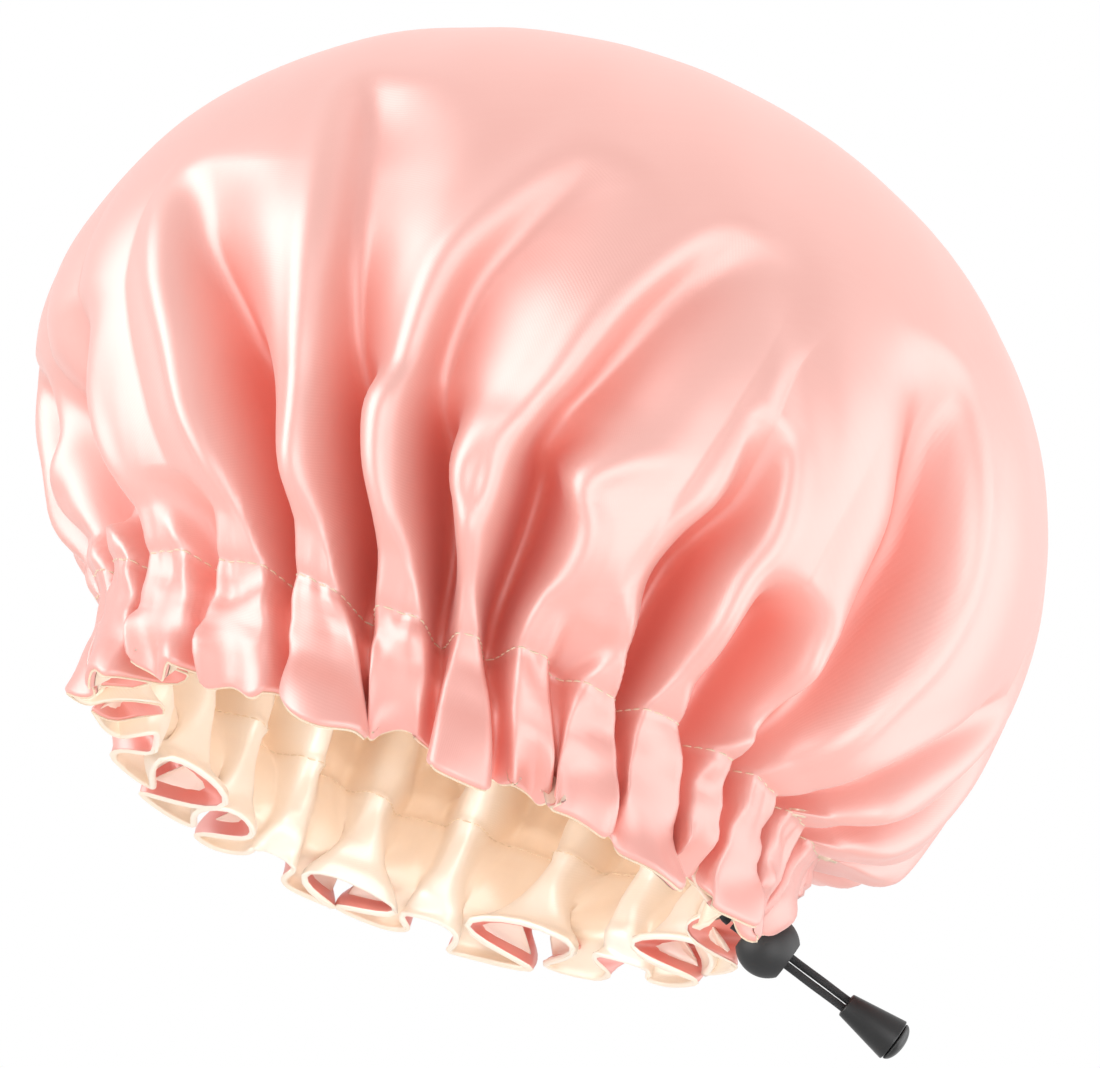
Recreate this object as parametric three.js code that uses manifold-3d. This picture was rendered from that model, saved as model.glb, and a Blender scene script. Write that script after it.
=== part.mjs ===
// Satin hair bonnet: two gathered cloth layers, a drawcord in the hem casing, a ball cord lock and a cord end.
// Millimetres, +Z towards the crown, +X towards the nape, where the cord leaves the hem.
import * as THREE from 'three';
import { mergeVertices } from 'three/addons/utils/BufferGeometryUtils.js';
import Module from 'manifold-3d';

// Dome, measured along the outline of the outer cloth, and how far it sits forward of the opening
const crownHeight = 204;
const widestRadius = 131;
const widestHeight = 99;
const stitchRadius = 91;
const stitchHeight = 25;
const edgeRadius = 86;
const domeShift = 2.5;

// Where the cloth hangs fuller, and how the hem dips at the sides and draws in, in degrees round from the nape
const fullNapeAt = -12;
const fullNapeSpread = 38;
const hemDip = 5;
const hemShapeTop = 90;
const farDrawIn = 3;
const farDrawInAt = 92;
const farDrawInSpread = 50;
const frontDrawIn = 10;
const frontDrawInAt = 170;
const frontDrawInSpread = 28;
const frontDrawInTop = 34;
const frontTuck = 5;
const frontTuckAt = 186;
const frontTuckSpread = 20;

// Cloth
const clothThickness = 0.6;
const layerGap = 0.5;
const fitGap = 0.3;

// Pleats: depth at the hem, how far the frill swings at the edge, and where the swell starts and is full
const hemPleatDepth = 14;
const nearSwing = 8;
const farSwing = 8;
const fullPleatAt = 48;
const swellArc = 60;
const pillowHeight = 2.2;
const farPleatCount = 11;
const farPleatStart = 9;
const farPleatPitch = 17.1;

// Pleats on the photographed side, each by places up from the hem:
// arc from the edge, angle round from the nape, depth, and how far its rim stands to the left and to the right
const nearPleats = [
  [[25, 198, 14, 5, 5], [45, 195, 14, 6, 7], [66, 192, 8, 7, 8], [84, 190, 0, 8, 9]],
  [[25, 211, 14, 5, 4.5], [33, 210, 16, 7, 4.5], [43, 207, 18, 12, 5], [55, 204, 18, 16, 6],
    [67, 202, 13, 18, 7], [80, 202, 7, 16, 9], [92, 203, 0, 14, 10]],
  [[25, 226, 12, 6, 5], [34, 225, 10, 8, 6], [41, 223.5, 6, 8, 7], [47, 222, 0, 8, 7], [90, 214, 0, 8, 7]],
  [[25, 239.5, 14, 4.5, 4.5], [39, 237.5, 24, 4.5, 5], [51, 235.5, 26, 5, 6], [63, 232, 25, 5, 10],
    [78, 229, 18, 5, 13], [90, 226, 14, 5, 15], [102, 223.5, 9, 5, 15], [113, 222, 5, 6, 14], [121, 221, 0, 6, 14]],
  [[25, 252, 14, 4.5, 4.5], [36, 250.5, 24, 4.5, 4.5], [50, 248.5, 26, 4.5, 4.5], [60, 247, 24, 4, 4.5],
    [70, 245.8, 18, 4, 6], [80, 245, 14, 4, 12], [90, 244.2, 12, 4, 14], [106, 243.2, 10, 4.5, 15],
    [125, 241, 8, 5, 14], [145, 237.5, 5, 5, 10], [154, 236, 0, 5, 8]],
  [[25, 263.8, 14, 4, 4], [41, 261.3, 24, 4, 3.5], [52, 259.2, 25, 4, 4], [62, 257.5, 22, 4, 4],
    [70, 256.6, 15, 4, 7], [80, 256.5, 12, 4, 12], [90, 256.8, 11, 4, 14], [101, 257.8, 10, 4.5, 14],
    [118, 260.8, 8, 5, 12], [133, 263.5, 5, 5, 8], [142, 264.5, 0, 5, 6]],
  [[25, 271.5, 14, 4, 4.5], [37, 270, 24, 4, 5], [50, 270.3, 28, 5, 6.5], [60, 270, 26, 4.5, 7],
    [68, 269.5, 17, 4, 5], [75, 270.3, 13, 4, 8], [85, 272.3, 12, 4, 12], [95, 274, 11, 4.5, 13],
    [106, 275.8, 10, 5, 13], [126, 280, 7, 5.5, 10], [138, 283, 0, 6, 8]],
  [[25, 291.5, 14, 3.5, 3.5], [35, 291, 20, 4.5, 4], [45, 290.5, 24, 5.5, 4.5], [55, 290.3, 24, 8, 4.5],
    [65, 290.8, 18, 8, 4], [76, 291.8, 12, 6, 4], [87, 291, 6, 5, 4], [97, 290, 0, 5, 4], [140, 295, 0, 5, 4]],
  [[25, 303, 13, 6, 6], [35, 303.5, 18, 8, 7], [50, 303.5, 21, 9, 7], [60, 303, 18, 9, 7],
    [66, 302.5, 10, 9, 8], [72, 302, 0, 9, 8], [120, 302, 0, 9, 8]],
  [[25, 313, 13, 4, 4], [50, 313.5, 12, 6, 4.5], [67, 315, 16, 9, 5], [80, 315.5, 19, 12, 6], [95, 315, 19, 12, 6],
    [110, 312, 16, 11, 6], [125, 309.5, 10, 10, 6], [137, 308, 0, 9, 6]],
  [[25, 324, 13, 4, 4], [36, 327, 12, 5, 4], [56, 330, 8, 6, 4], [78, 337.5, 6, 6, 4], [95, 344, 0, 6, 4]],
  [[25, 335.5, 13, 4, 4], [46, 338, 10, 5, 4.5], [70, 345.5, 8, 6, 5], [80, 348, 5, 6, 5], [94, 352, 0, 6, 5]],
  [[25, 350, 12, 4, 4], [45, 353, 9, 5, 5], [62, 358, 6, 6, 6], [78, 361, 0, 6, 6]],
];

// Casing round the drawcord, and the opening at the nape
const casingSlack = 1.75;
const outerPuff = 5;
const liningPuff = 3.5;
const napeLift = 16;
const napeFlare = 3;
const napeDrawIn = 11.5;
const napeSpread = 7.5;
const napeDrawInSpread = 12.5;

// Threads
const threadRadius = 0.25;
const threadStandOff = 0.8;

// Drawcord and its two tails
const cordDiameter = 2;
const twinGap = 0.3;
const cordInset = 2;
const exitInset = 3.5;
const exitHeight = 8;
const tailDrop = 16;
const tailRoll = 90;
const tailLength = 34;
const ringStart = 20;
const ringStep = 10;

// Cord lock
const lockDiameter = 16;
const lockFlatDiameter = 10;
const lockStandOff = 3.8;
const plungerDiameter = 7.4;
const plungerProud = 3;
const plungerTravel = 2;
const plungerCrown = 1.6;
const runningGap = 0.2;
const springRoom = 3.8;
const springWire = 0.4;
const springTurns = 3;

// Cord end
const bellLength = 14.5;
const bellNeckDiameter = 6.2;
const bellMouthDiameter = 11.2;
const bellCavityDiameter = 8;
const bellCavityDepth = 8;
const lidDome = 2.5;
const lidSeam = 0.5;
const lidPlug = 1.6;
const knotDiameter = 6.6;

const degrees = Math.PI / 180;
const wasm = await Module();
wasm.setup();

const satinPink = new THREE.MeshStandardMaterial({ color: 0xf6b3a9, roughness: 0.35 });
const satinCream = new THREE.MeshStandardMaterial({ color: 0xf8e6cb, roughness: 0.35 });
const creamThread = new THREE.MeshStandardMaterial({ color: 0xf3dfc4, roughness: 0.7 });
const blackCord = new THREE.MeshStandardMaterial({ color: 0x17171a, roughness: 0.85 });
const blackPlastic = new THREE.MeshStandardMaterial({ color: 0x1c1c1f, roughness: 0.5 });
const springSteel = new THREE.MeshStandardMaterial({ color: 0xb9bcc0, roughness: 0.3, metalness: 1 });

const mix = (a, b, t) => a + (b - a) * t;

function smooth(low, high, value) {
  const t = Math.min(1, Math.max(0, (value - low) / (high - low)));
  return t * t * (3 - 2 * t);
}

// Meridian of the dome from hem edge to crown, as points with the arc length to each
function meridianPoints() {
  const steps = 120;
  const points = [{ r: edgeRadius, z: 0, arc: 0 }];
  for (let i = 0; i <= steps; i += 1) {
    points.push({
      r: stitchRadius + (widestRadius - stitchRadius) * Math.sin(i / steps * Math.PI / 2),
      z: mix(stitchHeight, widestHeight, i / steps),
    });
  }
  for (let i = 1; i <= steps; i += 1) {
    const turn = i / steps * Math.PI / 2;
    points.push({
      r: widestRadius * Math.cos(turn),
      z: widestHeight + (crownHeight - widestHeight) * Math.sin(turn),
    });
  }
  for (let i = 1; i < points.length; i += 1) {
    const step = Math.hypot(points[i].r - points[i - 1].r, points[i].z - points[i - 1].z);
    points[i].arc = points[i - 1].arc + step;
  }
  return points;
}

const meridian = meridianPoints();
const stitchArc = meridian[1].arc;
const widestArc = meridian.find((point) => point.z >= widestHeight).arc;
const crownArc = meridian[meridian.length - 1].arc;

function meridianAt(arc) {
  let i = 1;
  while (i < meridian.length - 1 && meridian[i].arc < arc) i += 1;
  const a = meridian[i - 1];
  const b = meridian[i];
  const length = b.arc - a.arc;
  const t = (arc - a.arc) / length;
  return {
    r: mix(a.r, b.r, t),
    z: mix(a.z, b.z, t),
    outR: (b.z - a.z) / length,
    outZ: (a.r - b.r) / length,
  };
}

function turnBetween(a, b) {
  return ((a - b) % 360 + 540) % 360 - 180;
}

// One at an angle round the hem, falling away to both sides of it
function nearAngle(angle, at, spread) {
  return Math.exp(-((turnBetween(angle, at) / spread) ** 2));
}

// The dome without its pleats: fuller below the widest line at the nape, with its hem dipped and drawn in
function domeAt(angle, arc) {
  const { r, z, outR, outZ } = meridianAt(arc);
  const climb = (arc - stitchArc) / (widestArc - stitchArc);
  const low = 1 - smooth(stitchArc, hemShapeTop, arc);
  const drawn = farDrawIn * low * nearAngle(angle, farDrawInAt, farDrawInSpread)
    + frontDrawIn * (1 - smooth(0, frontDrawInTop, arc)) * nearAngle(angle, frontDrawInAt, frontDrawInSpread);
  const tucked = frontTuck * smooth(stitchArc, fullPleatAt, arc) * (1 - smooth(swellArc, hemShapeTop, arc))
    * nearAngle(angle, frontTuckAt, frontTuckSpread);
  let fullZ = z;
  if (climb > 0 && climb < 1) {
    fullZ = widestHeight - (widestHeight - stitchHeight) * Math.cos(climb * Math.PI / 2);
  }
  const dip = hemDip * low * Math.sin(angle * degrees) ** 2;
  const leaned = mix(z, fullZ, nearAngle(angle, fullNapeAt, fullNapeSpread)) - dip;
  return { r: r - drawn - tucked, z: leaned, outR, outZ };
}

// Pleats on the side away from the photograph, spread by a steady irregular sequence
function farPleat(k) {
  const hem = farPleatStart + farPleatPitch * k + 3.6 * Math.sin(5.3 * k);
  const way = 2.4 * k;
  const swell = hem + 4 * Math.sin(way);
  const top = hem + 7 * Math.sin(way + 0.6);
  const reach = 112 + 26 * Math.sin(1.7 * way + 1);
  const depth = 20 + 5 * Math.cos(1.3 * way);
  const [left, right] = Math.sin(3.1 * k + 0.5) > 0 ? [4.5, 13] : [13, 4.5];
  return [
    [25, hem, 15, 7, 7],
    [40, mix(hem, swell, 0.5), depth, 6, 6],
    [56, swell, depth, 5, 5],
    [mix(56, reach, 0.35), mix(swell, top, 0.4), 0.6 * depth, 0.8 * left, 0.8 * right],
    [mix(56, reach, 0.75), mix(swell, top, 0.8), 0.3 * depth, left, right],
    [reach, top, 0, left, right],
  ];
}

const pleats = [];
for (let k = 0; k < farPleatCount; k += 1) pleats.push(farPleat(k));
pleats.push(...nearPleats);

// A value along a pleat, eased through its places
function alongPleat(pleat, column, arc) {
  const last = pleat.length - 1;
  const s = Math.min(pleat[last][0], Math.max(pleat[0][0], arc));
  let i = 0;
  while (i < last - 1 && pleat[i + 1][0] <= s) i += 1;
  const slope = (j) => {
    const from = pleat[Math.max(0, j - 1)];
    const to = pleat[Math.min(last, j + 1)];
    return (to[column] - from[column]) / (to[0] - from[0]);
  };
  const step = pleat[i + 1][0] - pleat[i][0];
  const t = (s - pleat[i][0]) / step;
  return pleat[i][column] * (1 + 2 * t) * (1 - t) ** 2 + slope(i) * step * t * (1 - t) ** 2
    + pleat[i + 1][column] * t * t * (3 - 2 * t) + slope(i + 1) * step * t * t * (t - 1);
}

function pleatAngle(pleat, arc) {
  return alongPleat(pleat, 1, arc);
}

// Pleats with a narrow rim drop sharply, and those with a wide one gently
function pleatDepth(angle, arc, radius) {
  let depth = 0;
  for (const pleat of pleats) {
    const x = turnBetween(angle, pleatAngle(pleat, arc)) * degrees * radius;
    const width = alongPleat(pleat, x < 0 ? 3 : 4, arc);
    const sharpness = mix(4, 1.7, smooth(5, 13, width));
    depth += Math.max(0, alongPleat(pleat, 2, arc)) * Math.exp(-((Math.abs(x) / width) ** sharpness));
  }
  return depth;
}

// Between the pleats the cloth stands out by part of their mean depth
function ridgeLift(arc) {
  const samples = 12;
  const radius = Math.max(meridianAt(arc).r, edgeRadius);
  let total = 0;
  pleats.forEach((pleat, i) => {
    const from = pleatAngle(pleat, arc);
    const step = turnBetween(pleatAngle(pleats[(i + 1) % pleats.length], arc), from);
    for (let c = 0; c < samples; c += 1) total += pleatDepth(from + step * c / samples, arc, radius);
  });
  const turned = smooth(stitchArc, swellArc, arc);
  return Math.max(hemPleatDepth / 2 * (1 - turned), 0.6 * total / samples / pleats.length);
}

// Drawcord ring, along the middle of the casing
const cordRadius = cordDiameter / 2;

function ringAt(angle) {
  const { r, z } = domeAt(angle, stitchArc / 2);
  return { r: r - cordInset, z };
}

// How far the casing stands out from the base line: free at the edge and stitch, held off the cord between
function casingOffset(layer, base, angle, arc, part, depth) {
  const share = arc / stitchArc;
  const far = smooth(-0.4, 0.4, Math.sin(angle * degrees));
  const fold = Math.min(1, Math.max(-1, 1 - 2 * depth / hemPleatDepth));
  const swing = mix(fold, -Math.cos(2 * Math.PI * part), far * (1 - share));
  const free = swing * mix(mix(nearSwing, farSwing, far), hemPleatDepth / 2, share);
  const clear = casingSlack * (cordRadius + fitGap + clothThickness);
  let held = ringAt(angle).r - base.r + clear + outerPuff * (1 + swing);
  if (layer === 'lining') held = ringAt(angle).r - base.r - clear + clothThickness - liningPuff * (1 - swing);
  return mix(free, held, Math.sin(Math.PI * share));
}

// A point of a layer, at a share of the way from one pleat to the next
function clothPoint(layer, angle, arc, part, lift) {
  const base = domeAt(angle, arc);
  const depth = pleatDepth(angle, arc, Math.max(base.r, edgeRadius));
  let { r, z } = base;
  if (arc < stitchArc) {
    r += casingOffset(layer, base, angle, arc, part, depth);
    const share = 1 - arc / stitchArc;
    if (layer === 'lining') {
      r = mix(r, ringAt(0).r - napeDrawIn, nearAngle(angle, 0, napeDrawInSpread) * Math.min(1, 2 * share));
    } else {
      r += napeFlare * share * nearAngle(angle, 0, napeSpread);
      z += napeLift * share * nearAngle(angle, 0, napeSpread);
    }
  } else {
    const turned = smooth(stitchArc, swellArc, arc);
    const pillow = turned * (1 - smooth(0.27 * crownArc, 0.44 * crownArc, arc));
    const away = lift - depth + pillowHeight * pillow * Math.sin(Math.PI * part);
    const outR = mix(1, base.outR, turned);
    const outZ = base.outZ * turned;
    const length = Math.hypot(outR, outZ);
    r += away * outR / length;
    z += away * outZ / length;
  }
  const turn = angle * degrees;
  const shift = domeShift * smooth(stitchArc, swellArc, arc);
  return new THREE.Vector3(r * Math.cos(turn) - shift, r * Math.sin(turn), z);
}

// Rows of points up the cloth: four columns a pleat at the hem, two in the swell and one at the crown
const hemRow = 4;
const swellRow = 2;
const rowPlan = [
  { arc: 0, columns: hemRow },
  { arc: stitchArc / 2, columns: hemRow },
  { arc: stitchArc, columns: hemRow },
  { arc: fullPleatAt, columns: hemRow },
];
for (const share of [0.25, 0.35, 0.45]) rowPlan.push({ arc: share * crownArc, columns: swellRow });
for (const share of [0.55, 0.65, 0.75, 0.86]) rowPlan.push({ arc: share * crownArc, columns: 1 });

function clothRow(layer, arc, columns) {
  const row = [];
  const lift = ridgeLift(arc);
  pleats.forEach((pleat, i) => {
    const next = pleats[(i + 1) % pleats.length];
    const from = pleatAngle(pleat, arc);
    const step = turnBetween(pleatAngle(next, arc), from);
    for (let c = 0; c < columns; c += 1) {
      const part = c / columns;
      row.push(clothPoint(layer, from + step * part, arc, part, lift));
    }
  });
  return row;
}

// Triangles between two rings of points, the upper with as many points or half as many
function bandTriangles(lower, upper, lowerStart, upperStart) {
  const triangles = [];
  const ratio = lower / upper;
  for (let i = 0; i < lower; i += 1) {
    const a = lowerStart + i;
    const b = lowerStart + (i + 1) % lower;
    const c = upperStart + Math.floor(i / ratio) % upper;
    const d = upperStart + Math.floor((i + 1) / ratio) % upper;
    triangles.push([a, b, d]);
    if (c !== d) triangles.push([a, d, c]);
  }
  return triangles;
}

function vertexNormals(points, triangles) {
  const normals = points.map(() => new THREE.Vector3());
  for (const [a, b, c] of triangles) {
    const ab = points[b].clone().sub(points[a]);
    const ac = points[c].clone().sub(points[a]);
    const face = ab.cross(ac);
    for (const i of [a, b, c]) normals[i].add(face);
  }
  return normals.map((normal) => normal.normalize());
}

function meshGeometry(points, triangles) {
  const geometry = new THREE.BufferGeometry();
  const flat = points.flatMap((point) => point.toArray());
  geometry.setAttribute('position', new THREE.Float32BufferAttribute(flat, 3));
  geometry.setIndex(triangles.flat());
  return geometry;
}

// One layer of cloth: its rows of points, the skin's triangles and the way out at each point
function clothSkin(layer) {
  const points = [];
  const triangles = [];
  let lowerStart = 0;
  let lowerCount = 0;
  for (const { arc, columns } of rowPlan) {
    const start = points.length;
    points.push(...clothRow(layer, arc, columns));
    const count = points.length - start;
    if (start > 0) triangles.push(...bandTriangles(lowerCount, count, lowerStart, start));
    lowerStart = start;
    lowerCount = count;
  }
  const crown = points.length;
  points.push(new THREE.Vector3(-domeShift, 0, crownHeight));
  for (let i = 0; i < lowerCount; i += 1) {
    triangles.push([lowerStart + i, lowerStart + (i + 1) % lowerCount, crown]);
  }
  return { points, triangles, normals: vertexNormals(points, triangles) };
}

function sunkPoints(skin, depth) {
  return skin.points.map((point, i) => point.clone().addScaledVector(skin.normals[i], -depth));
}

// A closed cloth wall between two depths below the skin
function clothGeometry(skin, outerDepth, innerDepth) {
  const count = skin.points.length;
  const points = [...sunkPoints(skin, outerDepth), ...sunkPoints(skin, innerDepth)];
  const triangles = [...skin.triangles];
  for (const [a, b, c] of skin.triangles) triangles.push([count + a, count + c, count + b]);
  const around = pleats.length * hemRow;
  for (let i = 0; i < around; i += 1) {
    const next = (i + 1) % around;
    triangles.push([i, count + i, count + next], [i, count + next, next]);
  }
  return meshGeometry(points, triangles);
}

// A tube along points, with the side that faces up given at each; an open one has flat ends
function tubeGeometry(path, ups, radius, sides, closed) {
  const points = [];
  const triangles = [];
  const count = path.length;
  path.forEach((point, i) => {
    const before = path[closed ? (i + count - 1) % count : Math.max(0, i - 1)];
    const after = path[closed ? (i + 1) % count : Math.min(count - 1, i + 1)];
    const along = after.clone().sub(before).normalize();
    const side = along.clone().cross(ups[i]).normalize();
    const up = side.clone().cross(along);
    for (let k = 0; k < sides; k += 1) {
      const turn = 2 * Math.PI * k / sides;
      const ring = point.clone().addScaledVector(side, radius * Math.cos(turn));
      points.push(ring.addScaledVector(up, radius * Math.sin(turn)));
    }
  });
  const spans = closed ? count : count - 1;
  for (let i = 0; i < spans; i += 1) {
    const near = i * sides;
    const far = (i + 1) % count * sides;
    for (let k = 0; k < sides; k += 1) {
      const next = (k + 1) % sides;
      triangles.push([near + k, far + k, far + next], [near + k, far + next, near + next]);
    }
  }
  if (!closed) {
    const last = (count - 1) * sides;
    for (let k = 1; k < sides - 1; k += 1) {
      triangles.push([0, k, k + 1], [last, last + k + 1, last + k]);
    }
  }
  return meshGeometry(points, triangles);
}

function solidOf(geometry) {
  const bare = geometry.clone();
  bare.deleteAttribute('normal');
  bare.deleteAttribute('uv');
  const merged = mergeVertices(bare, 1e-4);
  return new wasm.Manifold(new wasm.Mesh({
    numProp: 3,
    vertProperties: new Float32Array(merged.attributes.position.array),
    triVerts: new Uint32Array(merged.index.array),
  }));
}

function geometryOf(solid) {
  const mesh = solid.getMesh();
  const geometry = new THREE.BufferGeometry();
  geometry.setAttribute('position', new THREE.BufferAttribute(mesh.vertProperties, 3));
  geometry.setIndex(new THREE.BufferAttribute(mesh.triVerts, 1));
  return geometry;
}

function cut(geometry, ...tools) {
  return geometryOf(tools.reduce((solid, tool) => solid.subtract(solidOf(tool)), solidOf(geometry)));
}

// A turned piece along +X, from a profile of distance along and radius
function turned(profile, sides) {
  const points = profile.map(([along, radius]) => new THREE.Vector2(radius, along));
  return new THREE.LatheGeometry(points, sides).rotateZ(-Math.PI / 2);
}

// A slot along +X with round ends, wide in Y and high in Z, from one place along to another
function slotCutter(width, height, from, to) {
  const half = (width - height) / 2;
  const shape = new THREE.Shape();
  shape.absarc(half, 0, height / 2, -Math.PI / 2, Math.PI / 2);
  shape.absarc(-half, 0, height / 2, Math.PI / 2, 1.5 * Math.PI);
  const geometry = new THREE.ExtrudeGeometry(shape, { depth: to - from, bevelEnabled: false, curveSegments: 6 });
  return geometry.rotateX(Math.PI / 2).rotateZ(Math.PI / 2).translate(from, 0, 0);
}

function named(name, geometry, material) {
  const mesh = new THREE.Mesh(geometry, material);
  mesh.name = name;
  return mesh;
}

// A closed row of points set off level, so that each side of it moves outward by the same distance
function rowSetOff(row, distance) {
  const sideOut = (from, to) => new THREE.Vector3(to.y - from.y, from.x - to.x, 0).normalize();
  return row.map((point, i) => {
    const before = sideOut(row[(i + row.length - 1) % row.length], point);
    const out = before.clone().add(sideOut(point, row[(i + 1) % row.length])).normalize();
    return point.clone().addScaledVector(out, distance / out.dot(before));
  });
}

// Cloth layers and their threads
function clothPieces() {
  const outer = clothSkin('outer');
  const lining = clothSkin('lining');
  const liningOut = clothThickness + layerGap;
  const liningIn = liningOut + clothThickness;
  const around = pleats.length * hemRow;
  const stitchStart = 2 * around;
  const stitchEnd = stitchStart + around;

  const needleUps = outer.normals.slice(stitchStart, stitchEnd);
  const bobbinUps = lining.normals.slice(stitchStart, stitchEnd);
  const needle = rowSetOff(outer.points.slice(stitchStart, stitchEnd), threadStandOff);
  const bobbin = rowSetOff(sunkPoints(lining, liningIn).slice(stitchStart, stitchEnd), -threadStandOff);

  // The seam along the edge runs from the first pleat beside the nape round to the last
  const seam = [];
  const below = clothThickness + threadRadius + fitGap;
  for (let i = 0; i <= around - hemRow; i += 1) {
    const outerEdge = outer.points[i].clone().addScaledVector(outer.normals[i], -clothThickness);
    const liningEdge = lining.points[i].clone().addScaledVector(lining.normals[i], -liningOut);
    const middle = outerEdge.lerp(liningEdge, 0.5);
    seam.push(middle.setZ(Math.min(middle.z, liningEdge.z) - below));
  }
  const seamUps = seam.map(() => new THREE.Vector3(0, 0, 1));

  return [
    named('outer_shell', clothGeometry(outer, 0, clothThickness), satinPink),
    named('lining', clothGeometry(lining, liningOut, liningIn), satinCream),
    named('topstitch_needle_thread', tubeGeometry(needle, needleUps, threadRadius, 4, true), creamThread),
    named('topstitch_bobbin_thread', tubeGeometry(bobbin, bobbinUps, threadRadius, 4, true), creamThread),
    named('edge_seam_thread', tubeGeometry(seam, seamUps, threadRadius, 4, false), creamThread),
  ];
}

const exitPoint = new THREE.Vector3(ringAt(0).r - exitInset, 0, exitHeight);
const twinOffset = (cordDiameter + twinGap) / 2;

// Route of each end from the exit back to the ring: distance back, sideways, up, and share of the twin offset
const napeRoute = [
  [1.4, 0, 0.4, 1],
  [3.4, 0.8, 1.2, 1],
  [4.5, 4.2, 2.6, 0.7],
  [4.2, 9.5, 4, 0.35],
  [2.5, 17, 5.6, 0.1],
];

function drawcord() {
  const endPoints = (side) => napeRoute.map(([back, aside, up, share]) => (
    new THREE.Vector3(exitPoint.x - back, side * aside, exitPoint.z + up + side * twinOffset * share)
  ));
  const ring = [];
  for (let angle = ringStart; angle <= 360 - ringStart; angle += ringStep) {
    const { r, z } = ringAt(angle);
    ring.push(new THREE.Vector3(r * Math.cos(angle * degrees), r * Math.sin(angle * degrees), z));
  }
  const stops = [...endPoints(1), ...ring, ...endPoints(-1).reverse()];
  const path = new THREE.CatmullRomCurve3(stops).getPoints(2 * (stops.length - 1));
  const ups = path.map(() => new THREE.Vector3(0, 0, 1));
  return named('drawcord', tubeGeometry(path, ups, cordRadius, 8, false), blackCord);
}

// Places along the tail from where the cord leaves the hem
const lockRadius = lockDiameter / 2;
const lockFlatAt = Math.sqrt(lockRadius ** 2 - (lockFlatDiameter / 2) ** 2);
const lockCentre = lockStandOff + lockFlatAt;
const knotStart = tailLength + bellLength - bellCavityDepth + fitGap;
const slotWidth = 2 * cordDiameter + twinGap + 2 * fitGap;
const slotHeight = cordDiameter + 2 * fitGap;

// A tail cord is round where it turns at the hem and flat against its knot
function tailCord(name, side) {
  const profile = [];
  const steps = 4;
  for (let i = 0; i <= steps; i += 1) {
    const turn = Math.PI / 2 * i / steps;
    profile.push([-cordRadius * Math.cos(turn), cordRadius * Math.sin(turn)]);
  }
  const end = knotStart - fitGap;
  profile.push([end, cordRadius], [end, 0]);
  return named(name, turned(profile, 8).translate(0, side * twinOffset, 0), blackCord);
}

// Heights in the lock, from its cords up the plunger's axis to the spring
const plungerSlotTop = cordRadius + fitGap;
const plungerTop = plungerSlotTop + plungerCrown;
const plungerSlotBottom = -cordRadius - fitGap - plungerTravel;
const boreTop = plungerTop + springRoom;
const boreRadius = plungerDiameter / 2 + runningGap;
const boreMouth = Math.sqrt(lockRadius ** 2 - boreRadius ** 2);

function lockBody() {
  const profile = [[-lockFlatAt, 0]];
  const steps = 18;
  const start = Math.asin(lockFlatAt / lockRadius);
  for (let i = 0; i <= steps; i += 1) {
    const turn = mix(-start, start, i / steps);
    profile.push([lockRadius * Math.sin(turn), lockRadius * Math.cos(turn)]);
  }
  profile.push([lockFlatAt, 0]);
  const ball = turned(profile, 36);
  const boreLength = boreTop + lockDiameter;
  const bore = new THREE.CylinderGeometry(boreRadius, boreRadius, boreLength, 28);
  bore.rotateX(Math.PI / 2).translate(0, 0, boreTop - boreLength / 2);
  const slot = slotCutter(slotWidth, slotHeight, -lockDiameter, lockDiameter);
  return named('lock_body', cut(ball, bore, slot), blackPlastic);
}

function lockPlunger() {
  const radius = plungerDiameter / 2;
  const bottom = -boreMouth - plungerProud;
  const dish = 0.6;
  const profile = [
    new THREE.Vector2(0, bottom - dish),
    new THREE.Vector2(radius * 0.6, bottom - dish * 0.6),
    new THREE.Vector2(radius * 0.9, bottom),
    new THREE.Vector2(radius, bottom + dish),
    new THREE.Vector2(radius, plungerTop),
    new THREE.Vector2(0, plungerTop),
  ];
  const rod = new THREE.LatheGeometry(profile, 24).rotateX(Math.PI / 2);
  const height = plungerSlotTop - plungerSlotBottom;
  const window = new THREE.BoxGeometry(lockDiameter, slotWidth, height);
  window.translate(0, 0, (plungerSlotTop + plungerSlotBottom) / 2);
  return named('lock_plunger', cut(rod, window), blackPlastic);
}

function lockSpring() {
  const path = [];
  const ups = [];
  const steps = 8 * springTurns;
  const seat = springWire / 2 + fitGap;
  const radius = plungerDiameter / 2 - springWire;
  for (let i = 0; i <= steps; i += 1) {
    const turn = 2 * Math.PI * springTurns * i / steps;
    const up = mix(plungerTop + seat, boreTop - seat, i / steps);
    path.push(new THREE.Vector3(radius * Math.cos(turn), radius * Math.sin(turn), up));
    ups.push(new THREE.Vector3(0, 0, 1));
  }
  let leastGap = Infinity;
  for (let i = 0; i + 6 <= steps; i += 1) {
    for (let j = i + 6; j <= steps; j += 1) leastGap = Math.min(leastGap, path[i].distanceTo(path[j]) - springWire);
  }
  console.log(`lock spring: least gap between turns ${leastGap.toFixed(2)} mm`);
  return named('lock_spring', tubeGeometry(path, ups, springWire / 2, 5, false), springSteel);
}

// Cord end: a hollow cone on the tails, its knot and its domed lid
function cordBell() {
  const end = tailLength + bellLength;
  const cone = turned([
    [tailLength, 0],
    [tailLength, bellNeckDiameter / 2],
    [end, bellMouthDiameter / 2],
    [end, bellCavityDiameter / 2],
    [end - bellCavityDepth, bellCavityDiameter / 2],
    [end - bellCavityDepth, 0],
  ], 32);
  const slot = slotCutter(slotWidth, slotHeight, tailLength - bellLength, end);
  return named('cord_bell', cut(cone, slot), blackPlastic);
}

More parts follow.
